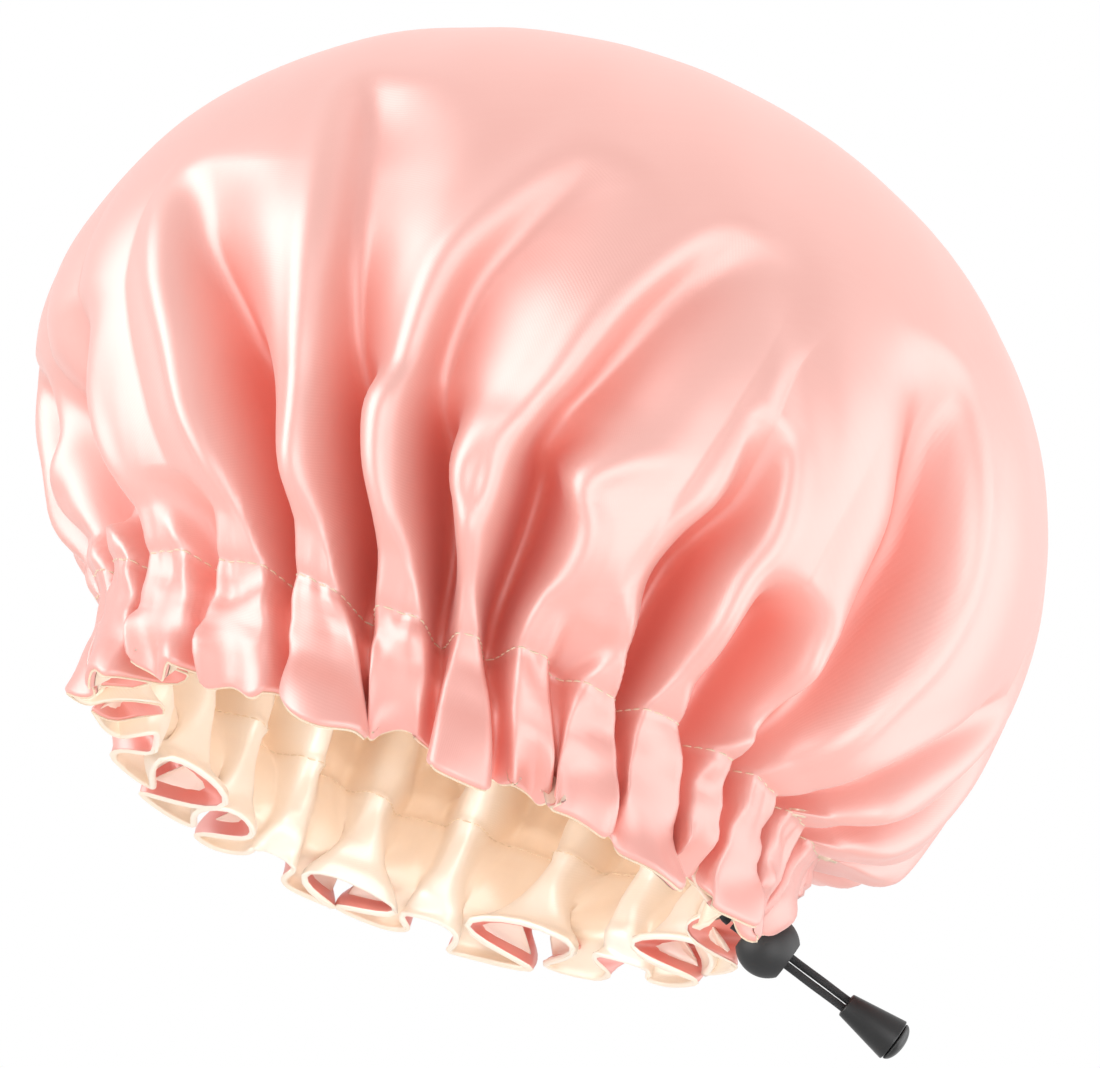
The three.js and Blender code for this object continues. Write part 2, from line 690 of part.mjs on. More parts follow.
function cordKnot() {
  const length = bellCavityDepth - lidPlug - 3 * fitGap;
  const profile = [];
  const steps = 8;
  for (let i = 0; i <= steps; i += 1) {
    const turn = Math.PI * i / steps;
    profile.push([knotStart + length * (1 - Math.cos(turn)) / 2, knotDiameter / 2 * Math.sin(turn)]);
  }
  profile[0][1] = 0;
  profile[steps][1] = 0;
  return named('cord_knot', turned(profile, 16), blackCord);
}

function bellLid() {
  const seat = tailLength + bellLength + fitGap;
  const rim = bellMouthDiameter / 2 - lidSeam;
  const plug = bellCavityDiameter / 2 - runningGap;
  const profile = [[seat - lidPlug, 0], [seat - lidPlug, plug], [seat, plug]];
  const steps = 8;
  for (let i = 0; i < steps; i += 1) {
    const turn = Math.PI / 2 * i / steps;
    profile.push([seat + lidDome * Math.sin(turn), rim * Math.cos(turn)]);
  }
  profile.push([seat + lidDome, 0]);
  return named('bell_lid', turned(profile, 32), blackPlastic);
}

// The tail hangs from the exit at the nape, one cord above the other, with the lock threaded on it
function tailPieces() {
  const tail = new THREE.Group();
  tail.position.copy(exitPoint);
  tail.rotation.set(tailRoll * degrees, tailDrop * degrees, 0, 'YXZ');
  const lock = new THREE.Group();
  lock.position.x = lockCentre;
  lock.add(lockBody(), lockPlunger(), lockSpring());
  tail.add(tailCord('tail_cord_left', -1), tailCord('tail_cord_right', 1));
  tail.add(lock, cordBell(), cordKnot(), bellLid());
  return tail;
}

const bonnet = new THREE.Group();
bonnet.add(...clothPieces(), drawcord(), tailPieces());

export default bonnet;
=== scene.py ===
import math
import bpy
import numpy as np
from mathutils import Matrix, Vector


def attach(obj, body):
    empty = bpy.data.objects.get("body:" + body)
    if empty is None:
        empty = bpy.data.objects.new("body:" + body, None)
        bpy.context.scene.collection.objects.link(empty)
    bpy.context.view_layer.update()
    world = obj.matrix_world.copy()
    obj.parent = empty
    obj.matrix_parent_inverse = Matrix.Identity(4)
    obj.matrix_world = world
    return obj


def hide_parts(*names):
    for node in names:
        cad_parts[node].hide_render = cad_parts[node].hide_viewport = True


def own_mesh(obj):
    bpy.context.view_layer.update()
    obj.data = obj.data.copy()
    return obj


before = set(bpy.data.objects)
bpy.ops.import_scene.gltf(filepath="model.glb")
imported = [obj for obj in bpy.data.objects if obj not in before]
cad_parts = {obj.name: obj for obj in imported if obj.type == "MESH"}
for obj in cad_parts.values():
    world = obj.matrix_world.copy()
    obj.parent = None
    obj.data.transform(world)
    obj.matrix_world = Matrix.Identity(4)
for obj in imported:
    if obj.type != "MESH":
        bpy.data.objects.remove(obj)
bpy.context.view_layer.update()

mm = 0.001
print("frame loaded")


def mix(a, b, t):
    return a + (b - a) * t


def smooth(low, high, value):
    t = np.clip((value - low) / (high - low), 0, 1)
    return t * t * (3 - 2 * t)


def turnBetween(a, b):
    return (a - b + 180) % 360 - 180


# 1 at an angle, fading to both sides of it
def nearTurn(turn, at, spread):
    return np.exp(-(turnBetween(turn, at) / spread) ** 2)


# shader nodes as expressions on wires
class Wire:
    def __init__(self, tree, socket=None):
        self.tree = tree
        self.socket = socket

    def node(self, kind, settings, values, out=0):
        made = self.tree.nodes.new("ShaderNode" + kind)
        for name, value in settings.items():
            setattr(made, name, value)
        for name, value in values.items():
            if isinstance(value, Wire):
                self.tree.links.new(value.socket, made.inputs[name])
            else:
                made.inputs[name].default_value = value
        return Wire(self.tree, made.outputs[out])

    def math(self, operation, first, second=0.0):
        return self.node("Math", {"operation": operation}, {0: first, 1: second})

    def __add__(self, other):
        return self.math("ADD", self, other)

    def __radd__(self, other):
        return self.math("ADD", other, self)

    def __rsub__(self, other):
        return self.math("SUBTRACT", other, self)

    def __mul__(self, other):
        return self.math("MULTIPLY", self, other)

    def blend(self, first, second):
        return self.node("Mix", {"data_type": "RGBA"}, {0: self, 6: first, 7: second}, out=2)

    def noise(self, place, scale, detail=2.0):
        return self.node("TexNoise", {}, {"Vector": place, "Scale": scale, "Detail": detail})

    def stretch(self, place, scale, turn=0.0):
        return self.node("Mapping", {}, {"Vector": place, "Scale": scale, "Rotation": (0, 0, turn)})


def newMaterial(name):
    material = bpy.data.materials.new(name)
    material.use_nodes = True
    tree = material.node_tree
    surface = tree.nodes["Principled BSDF"]
    return material, Wire(tree), surface


def plug(surface, name, value):
    if isinstance(value, Wire):
        value.tree.links.new(value.socket, surface.inputs[name])
    else:
        surface.inputs[name].default_value = value


# camera at the photograph's angle: from below the hem, rolled to the right
shot = dict(target=(0, 0, 89), below=21, roll=21.5, distance=850, focal=3315, shift=(15, -19.6), width=1100)


def placeCamera():
    below = math.radians(-shot["below"])
    roll = math.radians(shot["roll"])
    back = Vector((0, -math.cos(below), math.sin(below)))
    level = Vector((1, 0, 0))
    upright = Vector((0, math.sin(below), math.cos(below)))
    right = math.cos(roll) * level + math.sin(roll) * upright
    up = -math.sin(roll) * level + math.cos(roll) * upright
    lens = bpy.data.cameras.new("shotLens")
    lens.lens = lens.sensor_width * shot["focal"] / shot["width"]
    lens.shift_x = shot["shift"][0] / shot["width"]
    lens.shift_y = shot["shift"][1] / shot["width"]
    lens.clip_start = 0.01
    camera = bpy.data.objects.new("shotCamera", lens)
    bpy.context.collection.objects.link(camera)
    place = Matrix((right, up, back)).transposed().to_4x4()
    place.translation = (Vector(shot["target"]) + back * shot["distance"]) * mm
    camera.matrix_world = place
    bpy.context.scene.camera = camera


placeCamera()
bpy.context.scene.view_settings.view_transform = "Standard"
print("camera placed")

# soft studio light: each lamp's place in m, size in m, power in W, and whether it fills or gleams
lamps = dict(
    leftGleam=((-0.98, -0.35, -0.02), 1.1, 19.0, "gleam"),
    frontGleam=((0.4, -0.92, -0.26), 0.8, 7.0, "gleam"),
    rightGleam=((1.0, -0.15, 0.22), 1.2, 10.5, "gleam"),
    left=((-0.95, -0.4, 0.45), 0.6, 1.6, "fill"),
    right=((0.95, -0.5, 0.1), 0.6, 1.0, "fill"),
    top=((0.3, 0.0, 1.2), 0.9, 4.4, "fill"),
    under=((0.0, -0.25, -0.6), 0.5, 1.4, "fill"),
)
insideGlow = dict(place=(0.0, -0.045, 0.06), aim=(0.0, 0.1, 0.03), power=0.08, size=0.07)
lampAim = (0, 0, 0.09)
surround = dict(level=0.86, floorAt=-0.75, floorSize=6, floorTone=0.86, floorCloud=0.02)


def hangLamp(name, place, aim, size, power):
    lamp = bpy.data.lights.new(name, "AREA")
    lamp.size = size
    lamp.energy = power
    holder = bpy.data.objects.new(name, lamp)
    bpy.context.collection.objects.link(holder)
    holder.location = place
    way = Vector(aim) - Vector(place)
    holder.rotation_euler = way.to_track_quat("-Z", "Y").to_euler()
    return holder


def lightStudio():
    for name, (place, size, power, use) in lamps.items():
        lamp = hangLamp(name + "Lamp", place, lampAim, size, power)
        lamp.visible_diffuse = use != "gleam"
        lamp.visible_glossy = use != "fill"
    glow = hangLamp("insideGlow", **insideGlow)
    glow.visible_camera = False
    world = bpy.data.worlds.new("studioWorld")
    bpy.context.scene.world = world
    world.use_nodes = True
    tree = world.node_tree
    wire = Wire(tree)
    seen = wire.node("LightPath", {}, {}, out="Is Camera Ray")
    mirrored = wire.node("LightPath", {}, {}, out="Is Glossy Ray")
    shown = wire.math("MAXIMUM", seen, mirrored)
    plug(tree.nodes["Background"], "Strength", shown * (1 - surround["level"]) + surround["level"])
    plug(tree.nodes["Background"], "Color", (1, 1, 1, 1))


def layFloor():
    bpy.ops.mesh.primitive_plane_add(size=surround["floorSize"], location=(0, 0, surround["floorAt"]))
    floor = bpy.context.object
    floor.name = "studioFloor"
    material, wire, surface = newMaterial("paleFloor")
    tone = surround["floorTone"]
    pale = tone + surround["floorCloud"]
    place = wire.node("TexCoord", {}, {}, out="Object")
    cloudy = wire.noise(place, 3.0)
    plug(surface, "Base Color", cloudy.blend((tone, tone, tone, 1), (pale, pale, pale, 1)))
    plug(surface, "Roughness", 0.9)
    floor.data.materials.append(material)


lightStudio()
layFloor()
print("studio lit")


# satin: long floats along one thread, a fine twill step across, slubs and a cloudy tone,
# all laid on the flat cut of the cloth, a disc so many mm across
clothCut = 600
weave = dict(turn=0.35, floats=(0.22, 4.2, 1), twill=0.75, slubs=(0.02, 0.9, 1), clouds=0.025)


def satinMaterial(name, tone, deep, paintedFoldShade, rough, coat):
    material, wire, surface = newMaterial(name)
    cut = wire.node("UVMap", {"uv_map": "cut"}, {})
    place = wire.stretch(cut, (clothCut, clothCut, clothCut))
    floats = wire.noise(wire.stretch(place, weave["floats"], weave["turn"]), 1.0, 2.0)
    turned = wire.stretch(place, (1, 1, 1), weave["turn"])
    twill = wire.node(
        "TexWave", {"bands_direction": "DIAGONAL"},
        {"Vector": turned, "Scale": weave["twill"], "Distortion": 1.2, "Detail": 1.0})
    cloudy = wire.noise(place, weave["clouds"], 2.0)
    slub = wire.noise(wire.stretch(place, weave["slubs"], weave["turn"]), 1.0, 1.0)
    shade = floats * 0.25 + slub * 0.35 + cloudy * 0.4
    # painted shade: the per-point mask blends the woven tone towards a darker, redder painted shade colour
    # in fold hollows, on the frill and in the lining's depth, and roughens it a little
    paintedShade = wire.node("Attribute", {"attribute_name": "paintedShade"}, {}, out="Fac")
    plug(surface, "Base Color", paintedShade.blend(shade.blend(deep, tone), paintedFoldShade))
    plug(surface, "Roughness", rough - 0.08 + floats * 0.16 + paintedShade * 0.08)
    plug(surface, "IOR", 1.7)
    plug(surface, "Specular IOR Level", 0.8)
    plug(surface, "Coat Weight", coat)
    plug(surface, "Coat Roughness", 0.38)
    plug(surface, "Sheen Weight", 0.25)
    plug(surface, "Sheen Roughness", 0.4)
    plug(surface, "Sheen Tint", (1, 0.86, 0.82, 1))
    height = floats * 0.6 + twill * 0.4
    bump = wire.node("Bump", {}, {"Strength": 0.16, "Distance": 0.00015, "Height": height})
    plug(surface, "Normal", bump)
    return material


def threadMaterial():
    material, wire, surface = newMaterial("creamThread")
    place = wire.node("TexCoord", {}, {}, out="Object")
    fuzz = wire.noise(place, 2500.0)
    plug(surface, "Base Color", fuzz.blend((0.84, 0.62, 0.42, 1), (0.95, 0.83, 0.66, 1)))
    plug(surface, "Roughness", 0.6)
    bump = wire.node("Bump", {}, {"Strength": 0.3, "Distance": 0.0001, "Height": fuzz})
    plug(surface, "Normal", bump)
    return material


def braidMaterial():
    material, wire, surface = newMaterial("braidedElastic")
    lay = wire.node("UVMap", {"uv_map": "lay"}, {})
    ways = [wire.node("TexWave", {"bands_direction": "X"},
                      {"Vector": wire.stretch(lay, (1, 1, 1), turn), "Scale": 1.6, "Distortion": 0.2})
            for turn in (0.6, -0.6)]
    strands = wire.math("MAXIMUM", *ways)
    fuzz = wire.noise(lay, 6.0)
    worn = strands * 0.7 + fuzz * 0.3
    plug(surface, "Base Color", worn.blend((0.004, 0.004, 0.005, 1), (0.022, 0.022, 0.024, 1)))
    plug(surface, "Roughness", 0.75 - strands * 0.15)
    bump = wire.node("Bump", {}, {"Strength": 0.6, "Distance": 0.0002, "Height": strands + fuzz * 0.2})
    plug(surface, "Normal", bump)
    return material


def mouldedMaterial(name, tone, rough, grain):
    material, wire, surface = newMaterial(name)
    place = wire.node("TexCoord", {}, {}, out="Object")
    fine = wire.noise(place, 2600.0, 3.0)
    handled = wire.noise(place, 160.0, 2.0)
    dark = (tone * 0.75, tone * 0.75, tone * 0.8, 1)
    light = (tone * 1.25, tone * 1.25, tone * 1.3, 1)
    plug(surface, "Base Color", handled.blend(dark, light))
    plug(surface, "Roughness", rough - 0.06 + handled * 0.12)
    plug(surface, "Specular IOR Level", 0.45)
    bump = wire.node("Bump", {}, {"Strength": grain, "Distance": 0.00005, "Height": fine})
    plug(surface, "Normal", bump)
    return material


def wireMaterial():
    material, wire, surface = newMaterial("springSteel")
    place = wire.node("TexCoord", {}, {}, out="Object")
    drawn = wire.noise(place, 900.0)
    plug(surface, "Base Color", drawn.blend((0.5, 0.51, 0.53, 1), (0.66, 0.67, 0.69, 1)))
    plug(surface, "Metallic", 1.0)
    plug(surface, "Roughness", 0.25 + drawn * 0.15)
    return material


# the last colour of each satin is painted shade, laid where folds, the frill and the lining's depth would
# be in shade
satinPink = satinMaterial(
    "satinPink", tone=(0.92, 0.47, 0.41, 1), deep=(0.90, 0.42, 0.36, 1), paintedFoldShade=(0.87, 0.25, 0.19, 1),
    rough=0.43, coat=0.08)
satinCream = satinMaterial(
    "satinCream", tone=(0.98, 0.88, 0.77, 1), deep=(0.97, 0.85, 0.72, 1), paintedFoldShade=(0.97, 0.76, 0.57, 1),
    rough=0.38, coat=0.1)
creamThread = threadMaterial()
braidedElastic = braidMaterial()
ballPlastic = mouldedMaterial("ballPlastic", 0.014, 0.52, 0.25)
bellPlastic = mouldedMaterial("bellPlastic", 0.010, 0.36, 0.12)
springSteel = wireMaterial()
print("materials made")


def meshPiece(name, points, faces, material):
    mesh = bpy.data.meshes.new(name)
    mesh.from_pydata([tuple(p) for p in np.asarray(points) * mm], [], faces)
    mesh.update()
    piece = bpy.data.objects.new(name, mesh)
    bpy.context.collection.objects.link(piece)
    mesh.materials.append(material)
    mesh.polygons.foreach_set("use_smooth", [True] * len(mesh.polygons))
    return piece


def setMap(piece, name, places):
    layer = piece.data.uv_layers.new(name=name)
    corners = np.zeros(len(piece.data.loops), dtype=np.int32)
    piece.data.loops.foreach_get("vertex_index", corners)
    layer.data.foreach_set("uv", np.asarray(places)[corners].astype(np.float32).ravel())


# a round tube along points, closed into a ring or with domed ends
def tubePoints(path, radius, sides, closed):
    path = np.asarray(path, float)
    count = len(path)
    if closed:
        along = np.roll(path, -1, 0) - np.roll(path, 1, 0)
    else:
        along = np.gradient(path, axis=0)
    along /= np.linalg.norm(along, axis=1)[:, None]
    side = np.cross(along, (0.0, 0.0, 1.0))
    weak = np.linalg.norm(side, axis=1) < 0.05
    side[weak] = np.cross(along[weak], (0.0, 1.0, 0.0))
    side /= np.linalg.norm(side, axis=1)[:, None]
    up = np.cross(side, along)
    turn = 2 * np.pi * np.arange(sides) / sides
    radius = np.broadcast_to(radius, (count,))[:, None, None]
    ring = side[:, None] * np.cos(turn)[None, :, None] + up[:, None] * np.sin(turn)[None, :, None]
    points = (path[:, None] + ring * radius).reshape(-1, 3)
    faces = []
    spans = count if closed else count - 1
    for i in range(spans):
        near = i * sides
        far = (i + 1) % count * sides
        for k in range(sides):
            n = (k + 1) % sides
            faces.append((near + k, far + k, far + n, near + n))
    if not closed:
        last = (count - 1) * sides
        faces.append(tuple(range(sides)))
        faces.append(tuple(last + k for k in reversed(range(sides))))
    return points, faces


# each piece rides on a body and stands in for a solid, whose mesh is hidden
def settle(piece, body, node):
    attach(piece, body)
    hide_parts(node)


# where the cord leaves the hem: along the tail, across the twin cords, along the button
tail = dict(exit=(83, 0, 8), drop=16, twinOffset=1.15, cordRadius=1.0, knotAt=40.5,
            stops=28, sides=14, wobble=0.1)


def tailFrame():
    drop = math.radians(tail["drop"])
    along = Vector((math.cos(drop), 0, -math.sin(drop)))
    across = Vector((math.sin(drop), 0, math.cos(drop)))
    button = Vector((0, -1, 0))
    place = Matrix((along, across, button)).transposed().to_4x4()
    place.translation = Vector(tail["exit"])
    return place


tailPlace = tailFrame()


def tailPoints(points):
    return np.array([tailPlace @ Vector(p) for p in points])


def cordPiece(name, path, sides, body, node):
    path = np.asarray(path, float)
    radius = tail["cordRadius"]
    points, faces = tubePoints(path, radius, sides, False)
    piece = meshPiece(name, points, faces, braidedElastic)
    run = np.concatenate([[0], np.cumsum(np.linalg.norm(np.diff(path, axis=0), axis=1))])
    around = np.arange(sides) / sides * 2 * np.pi * radius
    places = np.stack([np.repeat(run, sides), np.tile(around, len(path))], 1)
    setMap(piece, "lay", places)
    settle(piece, body, node)
    return piece


def makeTails():
    made = {}
    for name, side in (("tail_cord_left", -1), ("tail_cord_right", 1)):
        spots = np.linspace(0, tail["knotAt"], tail["stops"])
        wobble = tail["wobble"] * np.sin(spots * 0.5 + side)
        path = tailPoints([(s, side * tail["twinOffset"], w) for s, w in zip(spots, wobble)])
        piece = cordPiece(name.replace("cord", "braid"), path, tail["sides"], "tail", name)
        made[name] = (piece, path)
    return made


tails = makeTails()
print("tails made")

# dome along the outer cloth, as in the solid, and how the gathers fall
dome = dict(crownHeight=204, widestRadius=131, widestHeight=99,
            stitchRadius=91, stitchHeight=25, edgeRadius=86)
gather = dict(hemDepth=14, nearSwing=9, farSwing=10, fullAt=50, swellArc=60, puff=2.2)
rim = dict(lip=0.1, lipAt=1.65, overhang=1.5, overAt=1.2, spread=0.45, hemNarrow=0.55, topWide=1.4,
           crispWidth=5, softWidth=13, crisp=3.4, soft=1.7)
columnsPerFold = 28

# folds of the photographed side, each by places up from the hem:
# arc from the edge, angle, depth, and how far its rim stands to the left and to the right
nearFolds = [
    ((25, 198, 14, 5, 5), (45, 195, 14, 6, 7), (66, 192, 8, 7, 8), (84, 190, 0, 8, 9)),
    ((25, 211, 14, 5, 4.5), (33, 210, 16, 7, 4.5), (43, 207, 18, 12, 5), (55, 204, 18, 16, 6),
     (67, 202, 13, 18, 7), (80, 202, 7, 16, 9), (92, 203, 0, 14, 10)),
    ((25, 226, 12, 6, 5), (34, 225, 10, 8, 6), (41, 223.5, 6, 8, 7), (47, 222, 0, 8, 7),
     (90, 214, 0, 8, 7)),
    ((25, 239.5, 14, 4.5, 4.5), (39, 237.5, 24, 4.5, 5), (51, 235.5, 26, 5, 6), (63, 232, 25, 5, 10),
     (78, 229, 18, 5, 13), (90, 226, 14, 5, 15), (102, 223.5, 9, 5, 15), (113, 222, 5, 6, 14),
     (121, 221, 0, 6, 14)),
    ((25, 252, 14, 4.5, 4.5), (36, 250.5, 24, 4.5, 4.5), (50, 248.5, 26, 4.5, 4.5), (60, 247, 24, 4, 4.5),
     (70, 245.8, 18, 4, 6), (80, 245, 14, 4, 12), (90, 244.2, 12, 4, 14), (106, 243.2, 10, 4.5, 15),
     (125, 241, 8, 5, 14), (145, 237.5, 5, 5, 10), (154, 236, 0, 5, 8)),
    ((25, 263.8, 14, 4, 4), (41, 261.3, 24, 4, 3.5), (52, 259.2, 25, 4, 4), (62, 257.5, 22, 4, 4),
     (70, 256.6, 15, 4, 7), (80, 256.5, 12, 4, 12), (90, 256.8, 11, 4, 14), (101, 257.8, 10, 4.5, 14),
     (118, 260.8, 8, 5, 12), (133, 263.5, 5, 5, 8), (142, 264.5, 0, 5, 6)),
    ((25, 271.5, 14, 4, 4.5), (37, 270, 24, 4, 5), (50, 270.3, 28, 5, 6.5), (60, 270, 26, 4.5, 7),
     (68, 269.5, 17, 4, 5), (75, 270.3, 13, 4, 8), (85, 272.3, 12, 4, 12), (95, 274, 11, 4.5, 13),
     (106, 275.8, 10, 5, 13), (126, 280, 7, 5.5, 10), (138, 283, 0, 6, 8)),
    ((25, 281, 9, 4, 5), (33, 281.5, 6, 5, 6), (41, 282, 0, 6, 7), (140, 289, 0, 6, 7)),
    ((25, 291.5, 14, 3.5, 3.5), (35, 291, 20, 4.5, 4), (45, 290.5, 24, 5.5, 4.5), (55, 290.3, 24, 8, 4.5),
     (65, 290.8, 18, 8, 4), (76, 291.8, 12, 6, 4), (87, 291, 6, 5, 4), (97, 290, 0, 5, 4),
     (140, 295, 0, 5, 4)),
    ((25, 303, 13, 6, 6), (35, 303.5, 18, 8, 7), (50, 303.5, 21, 9, 7), (60, 303, 18, 9, 7),
     (66, 302.5, 10, 9, 8), (72, 302, 0, 9, 8), (120, 302, 0, 10, 9)),
    ((25, 313, 13, 4, 4), (50, 313.5, 12, 6, 4.5), (67, 315, 16, 9, 5), (80, 315.5, 19, 12, 6),
     (95, 315, 19, 12, 6), (110, 312, 16, 11, 6), (125, 309.5, 10, 10, 6), (137, 308, 0, 9, 6)),
    ((25, 324, 13, 4, 4), (36, 327, 12, 5, 4), (56, 330, 8, 6, 4), (78, 337.5, 6, 6, 4),
     (95, 344, 0, 6, 4)),
    ((25, 335.5, 13, 4, 4), (46, 338, 10, 5, 4.5), (70, 345.5, 8, 6, 5), (80, 348, 5, 6, 5),
     (94, 352, 0, 6, 5)),
    ((25, 350, 12, 4, 4), (45, 353, 9, 5, 5), (62, 358, 6, 6, 6), (78, 361, 0, 6, 6)),
]

# the frill's flap to the right of each of them: how far it flares, hangs, tilts and leans aside
nearFlaps = [
    (1.2, 1.0, 0.3, 4), (0.6, 0.6, -0.4, 5), (0.5, 0.4, 0.2, 6), (1.7, 1.5, 0.6, 15), (0.2, 0.3, -0.5, 5),
    (1.1, 1.8, 0.1, 9), (0.3, 0.4, -0.3, 13), (1.0, 1.1, 0.5, 6), (1.5, 1.4, -0.3, 12), (0.3, 0.3, 0.5, 4),
    (1.3, 1.1, -0.5, 8), (0.5, 0.4, 0.3, 2), (0.6, -0.2, 0.3, 1), (0.4, -0.6, 0.2, 0),
]

# how far the edge is drawn in at each fold of the other side, from the nape round to the left
farPulls = [0.8, 1.0, 0.3, 1.1, 0.35, 1.15, 0.25, 0.6, 1.2, 0.3, 1.0]

# the other side's folds are gathered more evenly, each straying a little by its number
farSide = dict(first=9, pitch=17.1, stray=3.6, swellStray=4, topStray=7, reach=112, reachStray=26,
               depth=20, depthStray=5, fullAt=56, rims=(4.5, 13))


def farFold(k):
    hem = farSide["first"] + farSide["pitch"] * k + farSide["stray"] * math.sin(5.3 * k)
    way = 2.4 * k
    swell = hem + farSide["swellStray"] * math.sin(way)
    top = hem + farSide["topStray"] * math.sin(way + 0.6)
    reach = farSide["reach"] + farSide["reachStray"] * math.sin(1.7 * way + 1)
    depth = farSide["depth"] + farSide["depthStray"] * math.cos(1.3 * way)
    left, right = farSide["rims"] if math.sin(3.1 * k + 0.5) > 0 else farSide["rims"][::-1]
    full = farSide["fullAt"]
    return ((25, hem, 15, 7, 7), (40, mix(hem, swell, 0.5), depth, 6, 6), (full, swell, depth, 5, 5),
            (mix(full, reach, 0.35), mix(swell, top, 0.4), 0.6 * depth, left * 0.8, right * 0.8),
            (mix(full, reach, 0.75), mix(swell, top, 0.8), 0.3 * depth, left, right),
            (reach, top, 0, left, right))


# lesser creases and rolls: three (arc, angle) places, widths, depth, softness of the ends
creases = [
    ((122, 253), (145, 256), (168, 258), 6, 7, 1.3, 18),
    ((90, 296), (114, 290), (138, 286), 6, 8, 1.8, 14),
]

folds = [farFold(k) for k in range(len(farPulls))] + nearFolds


def meridianLine():
    steps = 200
    low = np.linspace(0, 1, steps)
    high = np.linspace(0, math.pi / 2, steps)[1:]
    swell = dome["widestRadius"] - dome["stitchRadius"]
    drop = dome["widestHeight"] - dome["stitchHeight"]
    rise = dome["crownHeight"] - dome["widestHeight"]
    r = np.concatenate([[dome["edgeRadius"]], dome["stitchRadius"] + swell * np.sin(math.pi / 2 * low),
                        dome["widestRadius"] * np.cos(high)])
    z = np.concatenate([[0], dome["stitchHeight"] + drop * low,
                        dome["widestHeight"] + rise * np.sin(high)])
    arc = np.concatenate([[0], np.cumsum(np.hypot(np.diff(r), np.diff(z)))])
    return r, z, arc


# the cloth hangs fuller at the nape, is drawn in at the far side and the front, and the hem dips
# at both sides of the head; the places are angles, and where a change ends is an arc from the edge
lean = dict(fullAt=-12, fullSpread=38, domeShift=-2.5, shiftFrom=30, shiftTo=80,
            farAt=92, farSpread=50, farIn=3, frontAt=170, frontSpread=28, frontIn=10, frontEnd=34,
            tuckAt=186, tuckSpread=20, tuckIn=5, tuckRise=(25, 42), tuckFade=(55, 100),
            hemDrop=5, lowEnd=90)


def domeLine(turn, arc):
    r = np.interp(arc, lineArc, lineR)
    z = np.interp(arc, lineArc, lineZ)
    outR = np.interp(arc, lineArc, lineTurnZ)
    outZ = -np.interp(arc, lineArc, lineTurnR)
    climb = np.clip((arc - stitchArc) / (widestArc - stitchArc), 0, 1)
    full = nearTurn(turn, lean["fullAt"], lean["fullSpread"]) * (climb < 1) * (climb > 0)
    bulge = climb * math.pi / 2
    fullR = dome["stitchRadius"] + (dome["widestRadius"] - dome["stitchRadius"]) * np.sin(bulge)
    fullZ = dome["widestHeight"] - (dome["widestHeight"] - dome["stitchHeight"]) * np.cos(bulge)
    low = 1 - smooth(stitchArc, lean["lowEnd"], arc)
    far = nearTurn(turn, lean["farAt"], lean["farSpread"]) * low
    front = nearTurn(turn, lean["frontAt"], lean["frontSpread"]) * (1 - smooth(0, lean["frontEnd"], arc))
    tuck = nearTurn(turn, lean["tuckAt"], lean["tuckSpread"]) * smooth(*lean["tuckRise"], arc)
    tuck = tuck * (1 - smooth(*lean["tuckFade"], arc))
    r = mix(r, fullR, full) - lean["farIn"] * far - lean["frontIn"] * front - lean["tuckIn"] * tuck
    z = mix(z, fullZ, full) - lean["hemDrop"] * np.sin(np.radians(turn)) ** 2 * low
    return r, z, outR, outZ


lineR, lineZ, lineArc = meridianLine()
stitchArc = lineArc[1]
crownArc = lineArc[-1]
widestArc = np.interp(dome["widestHeight"], lineZ, lineArc)
lineTurnR = np.gradient(lineR, lineArc)
lineTurnZ = np.gradient(lineZ, lineArc)


def curveThrough(places, arc):
    (a, turnA), (b, turnB), (c, turnC) = places
    s = np.clip(arc, a, c)
    partA = (s - b) * (s - c) / ((a - b) * (a - c))
    partB = (s - a) * (s - c) / ((b - a) * (b - c))
    partC = (s - a) * (s - b) / ((c - a) * (c - b))
    return turnA * partA + turnB * partB + turnC * partC


# a value along a fold, eased through its places
def alongFold(fold, column, arc):
    places = np.array([place[0] for place in fold], float)
    values = np.array([place[column] for place in fold], float)
    slopes = np.gradient(values, places)
    s = np.clip(arc, places[0], places[-1])
    i = np.clip(np.searchsorted(places, s, side="right") - 1, 0, len(places) - 2)
    step = places[i + 1] - places[i]
    t = (s - places[i]) / step
    start = values[i] * (1 + 2 * t) * (1 - t) ** 2 + slopes[i] * step * t * (1 - t) ** 2
    return start + values[i + 1] * t * t * (3 - 2 * t) + slopes[i + 1] * step * t * t * (t - 1)


def foldAngle(fold, arc):
    return alongFold(fold, 1, arc)


